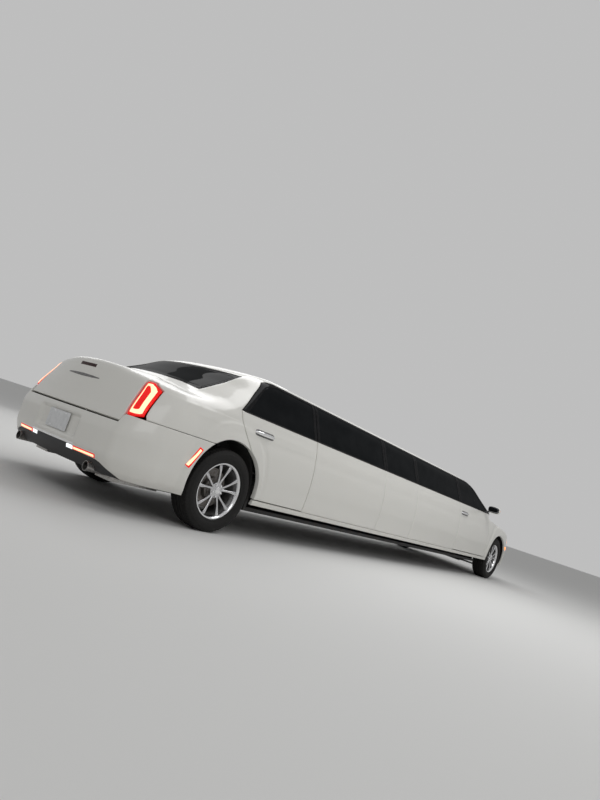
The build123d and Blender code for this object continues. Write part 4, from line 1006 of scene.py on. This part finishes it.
# The wheel: lip, barrel, spokes, hub, cap, brake disc and nuts, each profile turned round the axle.
def wheelSheets(centre):
    w = wheel["rim"]
    lip = [(0.2285, -w + 0.018), (0.2285, -w + 0.015), (0.239, -w + 0.013), (0.2412, -w + 0.009), (0.2405, -w + 0.0045),
           (0.236, -w + 0.0035), (0.231, -w + 0.005), (0.2265, -w + 0.011), (0.222, -w + 0.016), (0.217, -w + 0.034),
           (0.220, -w + 0.036)]
    barrel = [(0.2135, -w + 0.060), (0.205, w - 0.042), (0.213, w - 0.006), (0.225, w - 0.0035), (0.240, w - 0.0045),
              (0.2412, w - 0.010), (0.2285, w - 0.016), (0.2285, w - 0.024), (0.213, w - 0.040), (0.2125, -w + 0.062),
              (0.2285, -w + 0.044)]
    hub = [(0.02, -w + 0.0245), (0.040, -w + 0.0265), (0.058, -w + 0.031), (0.068, -w + 0.038), (0.070, -w + 0.050),
           (0.070, 0.010), (0.031, 0.010), (0.031, -0.019), (0.01, -0.020)]
    cap = [(0.012, -w + 0.0195), (0.024, -w + 0.0205), (0.0285, -w + 0.0225), (0.030, -w + 0.029)]
    nut = [(0.004, -0.005), (0.0085, -0.0045), (0.010, -0.001), (0.010, 0.010)]
    rotor = [(0.072, -0.019), (0.098, -0.019), (0.100, 0.030), (0.1715, 0.0305), (0.172, 0.036), (0.172, 0.052),
             (0.1715, 0.0575), (0.092, 0.0575), (0.090, 0.0015), (0.072, 0.001)]
    sheets = [turned(lip, centre, "polished", 120), turned(barrel, centre, "alloyDark"), *spokes(centre),
              disc(hub, centre, "alloy", 60), disc(cap, centre, "polished", 40), turned(rotor, centre, "castIron")]
    for a in np.radians(126 + 360 / wheel["nuts"] * np.arange(wheel["nuts"])):
        out = wheel["nutCircle"]
        sheets.append(disc(nut, np.array(centre) + [out * cos(a), -w + 0.0275, out * sin(a)], "polished", 6))
    return sheets


for end, x in (("front", frontAxle), ("rear", rearAxle)):
    centre = np.array([x, -wheel[end + "Track"], wheel["height"]])
    pair(f"tread_{end}", [tyreSheet(centre)], f"wheel_{end}_{{}}", [f"tyre_{end}_{{}}"], slot="tyre", sharp=28)
    pair(f"rim_{end}", wheelSheets(centre), f"wheel_{end}_{{}}", [f"wheel_{end}_{{}}"], slot="alloy", sharp=40)
print("stage: wheels")

# Door handles, mirrors, door cards and seals. Handles start at a place along the car and a height.
handle = dict(places=(("rear", rearAxle + 0.205, 0.935), ("front", frontAxle - 1.840, 0.925)), length=0.25, tall=0.0150,
              stand=0.026, pocket=[(-0.004, 0.021), (0.020, 0.031), (0.230, 0.031), (0.254, 0.021)])


def handleSheets(x, z):  # a bright bar bowed outwards over a pocket drawn dark grey as painted shade, and a finer bar along it
    t = np.linspace(0, 1, 41)
    arch = np.clip(np.sin(np.pi * t), 0, 1)
    path = drawn([(x, z), (x + handle["length"], z)], "side", 41)
    path = path + np.stack([0 * t, 0.004 - handle["stand"] * arch ** 0.28, 0 * t], 1)
    lower, upper = ([(x + a, z + s * b) for a, b in handle["pocket"]] for s in (-1, 1))
    # The pocket's dark grey is painted shade of the recess behind the bar; the real pocket is body-coloured.
    return [laid(lower, upper, "side", "alloyDark", 0.0012, 40, 8, 0.003),
            tube(path, 0.0078, handle["tall"] * (0.55 + 0.45 * arch ** 0.3), "chrome", 20, square=0.7),
            tube(path[4:-4] + [0, -0.0072, 0], 0.0030, 0.0085, "chrome", 12, square=0.8)]


# Mirror: centre, half sizes, and the stalk's line from the door, given beside the mirror's place along the car.
mirror = dict(centre=(frontAxle - 0.803, -1.003, 1.145), half=(0.052, 0.0985, 0.057),
              stalk=[(0.004, -0.862, 1.070), (0.002, -0.885, 1.083), (0, -0.925, 1.100), (0, -0.955, 1.118)])


def mirrorForm(g):  # fuller to the front, cut flatter at the back where the glass sits
    half = mirror["half"][0]
    narrow = 1 - 0.16 * np.clip(g[..., 0] / half, 0, 1)
    return np.stack([g[..., 0] * (1 - 0.15 * (g[..., 0] < 0)), g[..., 1] * narrow, g[..., 2] * narrow], -1)


def mirrorSheets():
    c, half = np.array(mirror["centre"]), mirror["half"]
    stalk = smoothLine([(c[0] + x, y, z) for x, y, z in mirror["stalk"]], 16)
    # The mirror glass's dark grey is painted reflection of dark surroundings.
    return [pebble(c, half, "paint", 0.62, 28, 44, mirrorForm),
            pebble(c - [half[0] * 0.80, 0, 0], (0.008, 0.090, 0.050), "blackGloss", 0.6, 16, 44),
            pebble(c - [half[0] * 0.95, 0, 0], (0.0035, 0.083, 0.044), "mirrorGlass", 0.6, 12, 44),
            tube(stalk, np.linspace(0.030, 0.020, 16), np.linspace(0.016, 0.012, 16), "blackPlastic", 18, square=0.8),
            pebble(c + [0.030, -0.060, 0.004], (0.010, 0.032, 0.006), "amber", 0.7, 10, 20)]


card = dict(places=(("rear", rearAxle + 0.760), ("front", frontAxle - 1.250)),
            cover=[(0.004, 0.011), (0.060, 0.013), (0.074, 0.010), (0.080, -0.002)],
            pull=[(0.10, -0.002, 0.800), (0.115, 0.022, 0.804), (0.205, 0.022, 0.804), (0.22, -0.002, 0.800)])


# Inside of a door: a moulded arm rest, a bright pull above it and a round speaker cover.
def cardSheets(x):
    inner = spot(x, 0.700, "side")[1] + side["panelThickness"]
    pull = smoothLine([(x + a, inner + b, z) for a, b, z in card["pull"]], 16)
    return [pebble((x, inner + 0.020, 0.700), (0.240, 0.032, 0.028), "dashSkin", 0.45, 14, 36),
            tube(pull, 0.006, 0.009, "chrome", 12),
            disc(card["cover"], (x + 0.12, inner, 0.490), "blackPlastic")]


def seal(a, b, high=1.0725, low=1.0625):  # the rubber along the belt under the glass
    return laid([(a, low), (b, low)], [(a, high), (b, high)], "side", "rubber", 0.0035, 40, 4, 0.007)


for end, x, z in handle["places"]:
    pair(f"handle_{end}", handleSheets(x, z), f"door_{end}_{{}}")
pair("mirror", mirrorSheets(), "door_front_{}")
for end, x in card["places"]:
    pair(f"card_{end}", cardSheets(x), f"door_{end}_{{}}")
pair("seal_rear", [seal(rearAxle + 0.030, side["rearDoorFront"] - 0.008)], "door_rear_{}")
pair("seal_front", [seal(side["frontDoorRear"] + 0.008, frontAxle - 0.600)], "door_front_{}")
pair("seal_stretch", [seal(a + 0.006, b - 0.006, 1.0745) for a, b in zip(seams, seams[1:])], "body")

# Black borders printed round the screens: outer and inner loop; and the wipers, by pivot and reach.
borders = dict(
    rearScreen=([(-0.664, 1.112), (0, 1.154), (0.664, 1.112), (0.603, 1.378), (-0.603, 1.378), (-0.664, 1.112)],
                [(-0.612, 1.150), (0, 1.186), (0.612, 1.150), (0.568, 1.346), (-0.568, 1.346), (-0.612, 1.150)]),
    windscreen=([(-0.752, 1.070), (0.752, 1.070), (0.624, 1.398), (-0.624, 1.398), (-0.752, 1.070)],
                [(-0.705, 1.112), (0.705, 1.112), (0.592, 1.366), (-0.592, 1.366), (-0.705, 1.112)]))
wiper = dict(pivots=(-0.62, 0.05), reach=(0.60, 0.56), heights=(1.088, 1.094, 1.104), off=0.010)
build("screen_borders", [loopStrip(outer, inner, view, "blackGloss", -0.0042, 140, 0.002)
                         for view, (outer, inner) in borders.items()], "body")
wiperSheets = []
for y, reach in zip(wiper["pivots"], wiper["reach"]):
    line = drawn([(y + reach * share, z) for share, z in zip((0, 0.5, 1), wiper["heights"])], "windscreen", 30)
    g, n = slopeOf(line)
    blade = line + g / n * wiper["off"]
    wiperSheets += [tube(blade[6:], 0.004, 0.007, "rubber", 10),
                    tube(blade[:22] + (g / n)[:22] * 0.008, 0.007, 0.004, "blackPlastic", 10)]
build("wipers", wiperSheets, "body")
print("stage: fittings")

# Head lamps, front markers, grille and lower intake, in the front view.
headLamp = dict(foot=[(-0.897, 0.671), (-0.560, 0.6535), (-0.453, 0.7015)], outerTop=(-0.897, 0.809),
                innerTop=(-0.453, 0.802), deep=0.05, projectors=((-0.600, 0.745), (-0.735, 0.742)), radius=0.044,
                light=([(-0.885, 0.690), (-0.560, 0.672)], [(-0.885, 0.699), (-0.560, 0.681)], -0.020))


# A head lamp: a dark bowl sunk behind the lens, two projectors, a light bar and the clear cover.
def headSheets():
    k, r = headLamp, headLamp["radius"]
    lines = [k["foot"], [k["foot"][-1], k["innerTop"]], [k["outerTop"], k["innerTop"]], [k["foot"][0], k["outerTop"]]]
    form = patch(lines, "front", 40, 16, counts=(60, 20, 60, 20))
    yield sheetFrom(form - slopeOf(form)[0] * k["deep"], 0.01, "blackGloss", "trim", (0, 0, 0, 0))
    for y, z in k["projectors"]:
        bezel = [(r * 0.98, -0.055), (r, -0.020), (r * 0.93, -0.016), (r * 0.80, -0.030), (r * 0.70, -0.045)]
        dome = [(r * 0.70 * sin(t), -0.046 + 0.024 * cos(t)) for t in np.linspace(np.pi / 2, 0.08, 8)]
        for rings, key in ((bezel, "chrome"), (dome, "lensGlass")):
            yield rounds(spot(y, z, "front"), (1.0, 0, 0), rings, key)
    lower, upper, sunk = k["light"]
    yield laid(lower, upper, "front", "whiteLamp", sunk, 40)
    yield sheetFrom(form, 0.004, "lampGlass")


markers = (([(0.372, 0.562), (0.455, 0.562)], [(0.335, 0.618), (0.455, 0.618)], 0.0025, 20, 12),
           ([(0.484, 0.672), (0.540, 0.672)], [(0.484, 0.798), (0.540, 0.798)], 0.0012, 8, 16))
build("lamps_head", both(*headSheets()), "body", ["headlamps"], slot="clear_lamp")
build("markers_front", both(*(laid(beside(frontAxle, lower), beside(frontAxle, upper), "side", "amber", *rest)
                              for lower, upper, *rest in markers)), "body")

grille = dict(outer=[(-0.362, 0.797), (-0.323, 0.453), (0.323, 0.453), (0.362, 0.797), (-0.362, 0.797)],
              inner=[(-0.334, 0.772), (-0.299, 0.478), (0.299, 0.478), (0.334, 0.772), (-0.334, 0.772)],
              back=((0.318, 0.460), (0.356, 0.790), 0.040), rows=9, rowStart=0.500, rowStep=0.0315, columns=15,
              columnStart=-0.294, columnStep=0.042, deep=0.016)


def grilleSheets():  # a bright frame, level bars, uprights behind them and a dark back
    k = grille
    yield loopStrip(k["outer"], k["inner"], "front", "chrome", -0.003, 150, 0.03)
    for i in range(k["rows"]):
        z = k["rowStart"] + i * k["rowStep"]
        line = levelAcross(np.interp(z, [0.478, 0.772], [0.301, 0.336]), z, "front", 60)
        yield tube(line - slopeOf(line)[0] * k["deep"], 0.004, 0.005, "chrome", 8, square=0.8)
    for i in range(k["columns"]):
        y = k["columnStart"] + i * k["columnStep"]
        line = drawn([(y, 0.474), (y * 1.10, 0.774)], "front", 30)
        yield tube(line - slopeOf(line)[0] * (k["deep"] + 0.004), 0.004, 0.003, "chrome", 8, (0, 1, 0), 0.8)
    (lowHalf, low), (highHalf, high), deep = k["back"]
    back = patch([[(-lowHalf, low), (lowHalf, low)], [(lowHalf, low), (highHalf, high)],
                  [(-highHalf, high), (highHalf, high)], [(-lowHalf, low), (-highHalf, high)]], "front", 30, 16, deep)
    yield sheetFrom(back, 0.004, "blackPlastic", None, (0, 0, 0, 0))


build("grille_chrome", list(grilleSheets()), "body", ["grille"])
intake = dict(low=(0.530, 0.300), high=(0.560, 0.398), slats=(0.322, 0.346, 0.370), slatHalf=0.535,
              rim=[(-0.545, 0.294), (0.545, 0.294), (0.575, 0.404), (-0.575, 0.404), (-0.545, 0.294)],
              rimIn=[(-0.533, 0.300), (0.533, 0.300), (0.562, 0.398), (-0.562, 0.398), (-0.533, 0.300)])


def level(half, z):
    return [(-half, z), (half, z)]


build("intake_lower", [laid(level(*intake["low"]), level(*intake["high"]), "front", "blackPlastic", 0.0008, 80, 10),
                       loopStrip(intake["rim"], intake["rimIn"], "front", "blackGloss", 0.003, 120, 0.008),
                       *(laid(level(intake["slatHalf"], z), level(intake["slatHalf"], z + 0.006), "front",
                              "blackGloss", 0.004, 70) for z in intake["slats"])], "body")
fog = dict(place=(-0.700, 0.390),
           chrome=[(0.030, -0.012), (0.036, -0.004), (0.036, 0.004), (0.031, 0.005), (0.029, -0.002), (0.010, -0.003)],
           lensGlass=[(0.028, -0.004), (0.024, 0.001), (0.014, 0.004), (0.004, 0.005)])
place = spot(*fog["place"], "front")
g, n = slopeOf(place[None])
build("lamps_fog", both(*(rounds(place, (g / n)[0], fog[key], key, 36) for key in ("chrome", "lensGlass"))), "body",
      slot="clear_lamp")
print("stage: front details")

# Door hinges: a strap from the pillar to the pin under the skin.
hinge = dict(places=(rearAxle + 1.120, frontAxle - 0.613), heights=(0.500, 0.830), pin=0.006, pinHalf=0.032,
             inset=0.034, foot=(0.052, -0.862), bend=(0.030, -0.872))


def hingeSheets(x, z):
    y = spot(x, z, "side")[1] + hinge["inset"]
    bends = [(x + along, across, z) for along, across in (hinge["bend"], hinge["foot"])]
    strap = smoothLine([(x, y, z), (x + 0.012, y + 0.016, z), *bends], 14)
    pin = [(x, y, z + step * hinge["pinHalf"]) for step in (-1, 0, 1)]
    return both(tube(pin, hinge["pin"], hinge["pin"], "steel", 14, (1, 0, 0)),
                tube(strap, 0.004, 0.013, "castIron", 14, square=0.7))


build("hinge_straps", [s for x in hinge["places"] for z in hinge["heights"] for s in hingeSheets(x, z)], "body",
      ["door_hinges"], slot="underbody")

# Seats. Cushions swell by the crown and have sewn channels; the places are given from the row's own x.
cabin = dict(seamDepth=0.009, crown=0.016, channel=0.085, seamSoft=0.07, fill=0.7, backLean=-76,
             frontRow=frontAxle - 1.750, frontSeats=(-0.400, 0.400), loungeStep=0.425, sideStart=1.780, sideStep=0.560)


# A cushion: a rounded block whose faces swell towards the middle, with sewn channels pressed in along it.
def cushion(centre, half, lean=0.0, channelAxis=1, nu=44, nv=72):
    def swollen(g):
        q = g / np.array(half)
        room = np.clip(1 - q ** 2, 0, 1)
        swell = cabin["crown"] * np.sqrt(room[..., 0]) * np.sqrt(room[..., 1])
        across = g[..., channelAxis] / cabin["channel"] % 1
        groove = sum(np.exp(-(off / cabin["seamSoft"]) ** 2) for off in (np.abs(across - 0.5) - 0.5, across))
        inside = softStep(0.86 - np.max(np.abs(q[..., :2]), -1), 0.12)
        lift = np.sign(q[..., 2]) * (swell - cabin["seamDepth"] * np.clip(groove, 0, 1) * inside)
        x, y, z = g[..., 0], g[..., 1], g[..., 2] + lift
        c, s = cos(radians(lean)), sin(radians(lean))
        return np.stack([c * x + s * z, y, -s * x + c * z], -1)

    return pebble(centre, half, "leather", 0.30, nu, nv, swollen)


def addCushions(name, sheets, replaced):
    build(name, sheets, "body", replaced, sharp=60)


def frontSeat(y):  # squab, back and head rest with a bolster at each side, and the trim below
    x, lean = cabin["frontRow"], cabin["backLean"]
    soft = [cushion((x + 0.270, y, 0.415), (0.250, 0.225, 0.070)),
            cushion((x - 0.085, y, 0.665), (0.230, 0.215, 0.052), lean),
            cushion((x - 0.205, y, 0.960), (0.060, 0.130, 0.042), lean)]
    hard = [pebble((x + 0.255, y, 0.325), (0.235, 0.215, 0.045), "blackPlastic", 0.4, 20, 40)]
    for s in (-1, 1):
        soft += [cushion((x + 0.270, y + s * 0.205, 0.430), (0.235, 0.032, 0.062), nu=24, nv=36),
                 cushion((x - 0.075, y + s * 0.200, 0.655), (0.215, 0.030, 0.060), lean, nu=24, nv=36)]
        stay, runner = y + s * 0.05, y + s * 0.16
        hard += [tube([(x - 0.185, stay, 0.885), (x - 0.196, stay, 0.930)], 0.006, 0.006, "chrome", 12, (0, 1, 0)),
                 tube([(x + 0.02, runner, 0.275), (x + 0.27, runner, 0.278), (x + 0.50, runner, 0.275)], 0.018, 0.008,
                      "steel", 12)]
    return soft, hard


seats = [frontSeat(y) for y in cabin["frontSeats"]]
addCushions("seat_front", [s for soft, hard in seats for s in soft], ["front_seats"])
build("seat_front_base", [s for soft, hard in seats for s in hard], "body", slot="black_plastic")
lounge = []
for i in (-1, 0, 1):
    y = i * cabin["loungeStep"]
    lounge += [cushion((rearAxle + 0.915, y, 0.480), (0.250, 0.208, 0.062)),
               cushion((rearAxle + 0.585, y, 0.745), (0.235, 0.205, 0.055), cabin["backLean"])]
for i in range(5):
    x = rearAxle + cabin["sideStart"] + i * cabin["sideStep"]
    lounge += [cushion((x, 0.480, 0.425), (0.276, 0.150, 0.066), channelAxis=0),
               cushion((x, 0.688, 0.680), (0.274, 0.045, 0.180), channelAxis=0)]
addCushions("seat_lounge", lounge, ["lounge_seats"])
plinths = [pebble((rearAxle + 0.900, 0, 0.408), (0.235, 0.620, 0.012), "blackPlastic", 0.3, 12, 40),
           pebble((rearAxle + 2.900, 0.500, 0.312), (1.385, 0.150, 0.045), "woodTrim", 0.2, 16, 60)]
build("seat_plinths", plinths, "body", slot="trim")

# Dashboard: a soft section carried across the cabin, with a hood before the driver; instruments, wheel and console.
dash = dict(x=frontAxle - 0.620, half=0.722, driver=0.400, hood=0.018, hoodWide=0.16, tilt=25, wheel=(-0.340, 0.905),
            ringRadius=0.178, gripRadius=0.0135, vents=(-0.610, -0.160, 0.160, 0.640), dials=(0.330, 0.470),
            dial=[(0.004, 0), (0.040, 0), (0.047, -0.004), (0.050, 0.006)],
            section=[(0.000, 0.955), (-0.110, 0.962), (-0.200, 0.935), (-0.262, 0.880), (-0.272, 0.820),
                     (-0.235, 0.765), (-0.170, 0.730), (-0.060, 0.725), (0.010, 0.735)],
            column=[(-0.200, 0.845), (-0.290, 0.885), (-0.335, 0.905)])


# The steering wheel: a torus round its axis, its ring on one angle and the grip's section on the other.
def steeringWheel():
    k, tilt = dash, radians(dash["tilt"])
    centre = np.array([k["x"] + k["wheel"][0], k["driver"], k["wheel"][1]])
    e1, e2 = np.array([0, 1.0, 0]), np.array([sin(tilt), 0, cos(tilt)])
    face = np.cross(e2, e1)
    a, b = circle(72)[:, None, None], circle(16)[None, :, None]
    ring = centre + (k["ringRadius"] + k["gripRadius"] * np.cos(b)) * (np.cos(a) * e1 + np.sin(a) * e2)
    yield closedForm(ring + k["gripRadius"] * np.sin(b) * face, "leather", closeU=True)
    for angle in np.radians((180, 0, -90)):
        way = cos(angle) * e1 + sin(angle) * e2
        yield tube([centre + way * r for r in np.linspace(0.03, 0.172, 10)], np.linspace(0.020, 0.010, 10), 0.007,
                   "blackPlastic", 14, tuple(face))
    yield pebble(centre, (0.030, 0.062, 0.056), "leather", 0.6, 16, 30)


def dashSheets():  # the soft section, steering column and wheel, dials, screen, console and vents
    k, x = dash, dash["x"]
    section = smoothLine(k["section"], 44)
    y = np.linspace(-k["half"], k["half"], 60)[:, None]
    hood = k["hood"] * np.exp(-((y - k["driver"]) / k["hoodWide"]) ** 4)
    yield loops(np.stack([x + section[:, 0] - 0.006 * np.cos(y * 4), y + 0 * section[:, 0],
                          section[:, 1] + hood * (section[:, 1] > 0.90)], -1), "dashSkin")
    yield tube(smoothLine([(x + a, k["driver"], z) for a, z in k["column"]], 12), 0.036, 0.036, "blackPlastic", 20)
    yield from steeringWheel()
    for y in k["dials"]:
        yield rounds((x - 0.268, y, 0.872), (1.0, 0, 0), k["dial"], "chrome")
    yield pebble((x - 0.272, -0.010, 0.868), (0.008, 0.110, 0.052), "blackGloss", 0.3, 12, 40)
    yield pebble((x - 0.275, -0.010, 0.780), (0.010, 0.100, 0.022), "blackPlastic", 0.4, 12, 40)
    yield pebble((x - 0.215, 0.0, 0.560), (0.065, 0.112, 0.150), "blackPlastic", 0.35, 20, 40)
    for y in k["vents"]:
        yield pebble((x - 0.266, y, 0.885), (0.008, 0.042, 0.022), "chrome", 0.4, 10, 24)
        yield pebble((x - 0.271, y, 0.885), (0.007, 0.037, 0.018), "blackGloss", 0.4, 10, 24)


build("dash", list(dashSheets()), "body", ["dashboard"])

# Partition behind the driver: padded walls, a dark glass, a bright rail and a wooden sill.
# Each row: centre across and up, half sizes, finish, how square, and the grid's counts.
partitionX = frontAxle - 2.145
partition = [((-0.425, 0.560), (0.016, 0.268, 0.285), "leather", 0.22, 16, 44),
             ((0.425, 0.560), (0.016, 0.268, 0.285), "leather", 0.22, 16, 44),
             ((0, 0.630), (0.014, 0.155, 0.225), "leather", 0.22, 16, 44),
             ((0, 1.010), (0.006, 0.640, 0.160), "tintedGlass", 0.15, 12, 60),
             ((0, 1.168), (0.013, 0.660, 0.011), "chrome", 0.4, 10, 44),
             ((0, 0.858), (0.015, 0.690, 0.014), "woodTrim", 0.4, 10, 44)]
build("partition_wall", [pebble((partitionX, *middle), *rest) for middle, *rest in partition], "body", ["partition"],
      slot="trim")
print("stage: cabin")

# Finishes of the nodes that stay
nodeFinish = dict(underCoat=("floor_pan", "front_rails", "lid_arms", "bonnet_arms", "subframes"),
                  castIron=("knuckle_front_right", "knuckle_front_left", "knuckles_rear", "engine", "driveline"),
                  liner=("wheelhouses",),
                  steel=("exhaust",), blackPlastic=("fuel_tank",))
for key, nodes in nodeFinish.items():
    for node in nodes:
        for slotAt in bpy.data.objects[node].material_slots:
            slotAt.material = finish[key]

# Camera from the photograph's place: degrees of turn, rise and roll. Lights: place, aim, size, power. Sky strengths.
view = dict(place=(-6.877, -4.389, 0.705), turn=40.12, rise=6.94, roll=18.36, lens=25.95, skyLight=0.40, skySeen=0.60,
            sky=(0.86, 0.86, 0.86), floor=(0.74, 0.74, 0.73), floorHalf=120.0)
lights = dict(key=((-7.5, -6.0, 5.5), (-2.5, 0, 0.7), (6, 3), 80), overhead=((0.0, 0.0, 6.0), (0, 0, 0), (10, 3), 290),
              far_side=((2.0, 8.0, 4.5), (0, 0, 0.6), (9, 3), 90))


def placed(name, data, place, right, forward):  # a camera or lamp with its own right and the way it looks
    thing = bpy.data.objects.new(name, data)
    turn = np.eye(4)
    turn[:3] = np.stack([right, np.cross(right, forward), -forward, place], 1)
    thing.matrix_world = Matrix(turn.tolist())
    bpy.context.scene.collection.objects.link(thing)
    return thing


def unit(v):
    return v / np.linalg.norm(v)


def placeCamera():  # it looks along the turn and rise, and is rolled about that line
    az, el, ro = radians(view["turn"]), radians(view["rise"]), radians(view["roll"])
    forward = np.array([cos(el) * cos(az), cos(el) * sin(az), sin(el)])
    right = unit(np.cross(forward, [0, 0, 1]))
    data = bpy.data.cameras.new("camera")
    data.lens = view["lens"]
    rolled = cos(ro) * right + sin(ro) * np.cross(right, forward)
    bpy.context.scene.camera = placed("camera", data, view["place"], rolled, forward)


def addLight(name, place, aim, size, power):  # a rectangle of light at a place, facing its aim
    data = bpy.data.lights.new(name, "AREA")
    data.shape = "RECTANGLE"
    data.size, data.size_y = size
    data.energy = power
    forward = unit(np.array(aim, float) - place)
    placed(name, data, place, unit(np.cross(forward, [0, 0, 1] if abs(forward[2]) < 0.95 else [1, 0, 0])), forward)


# The floor, and a sky that camera, glossy and transmitted rays see brighter than it lights the scene.
def makeStage():
    s = view["floorHalf"]
    mesh = bpy.data.meshes.new("floor")
    mesh.from_pydata([(-s, -s, 0), (s, -s, 0), (s, s, 0), (-s, s, 0)], [], [(0, 1, 2, 3)])
    floor = bpy.data.objects.new("floor", mesh)
    bpy.context.scene.collection.objects.link(floor)
    mesh.materials.append(newMaterial("floor", view["floor"], 0.85)[0])
    floor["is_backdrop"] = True
    world = bpy.data.worlds.new("world")
    world.use_nodes = True
    bpy.context.scene.world = world
    nodes, links = world.node_tree.nodes, world.node_tree.links
    back = nodes["Background"]
    back.inputs["Color"].default_value = (*view["sky"], 1)
    path, seen, shone = (nodes.new("ShaderNode" + kind) for kind in ("LightPath", "Math", "Math"))
    seen.operation = shone.operation = "ADD"
    span = nodes.new("ShaderNodeMapRange")
    span.inputs["To Min"].default_value, span.inputs["To Max"].default_value = view["skyLight"], view["skySeen"]
    for thing, name, socket in ((path, "Is Camera Ray", seen.inputs[0]), (path, "Is Glossy Ray", seen.inputs[1]),
                                (path, "Is Transmission Ray", shone.inputs[1]), (seen, "Value", shone.inputs[0]),
                                (shone, "Value", span.inputs["Value"]), (span, "Result", back.inputs["Strength"])):
        links.new(thing.outputs[name], socket)


placeCamera()
makeStage()
for name, row in lights.items():
    addLight(name, *row)
bpy.context.scene.view_settings.view_transform = "Standard"

sizes = [[list(map(float, corner)) for corner in box] for box in (cadBox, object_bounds())]
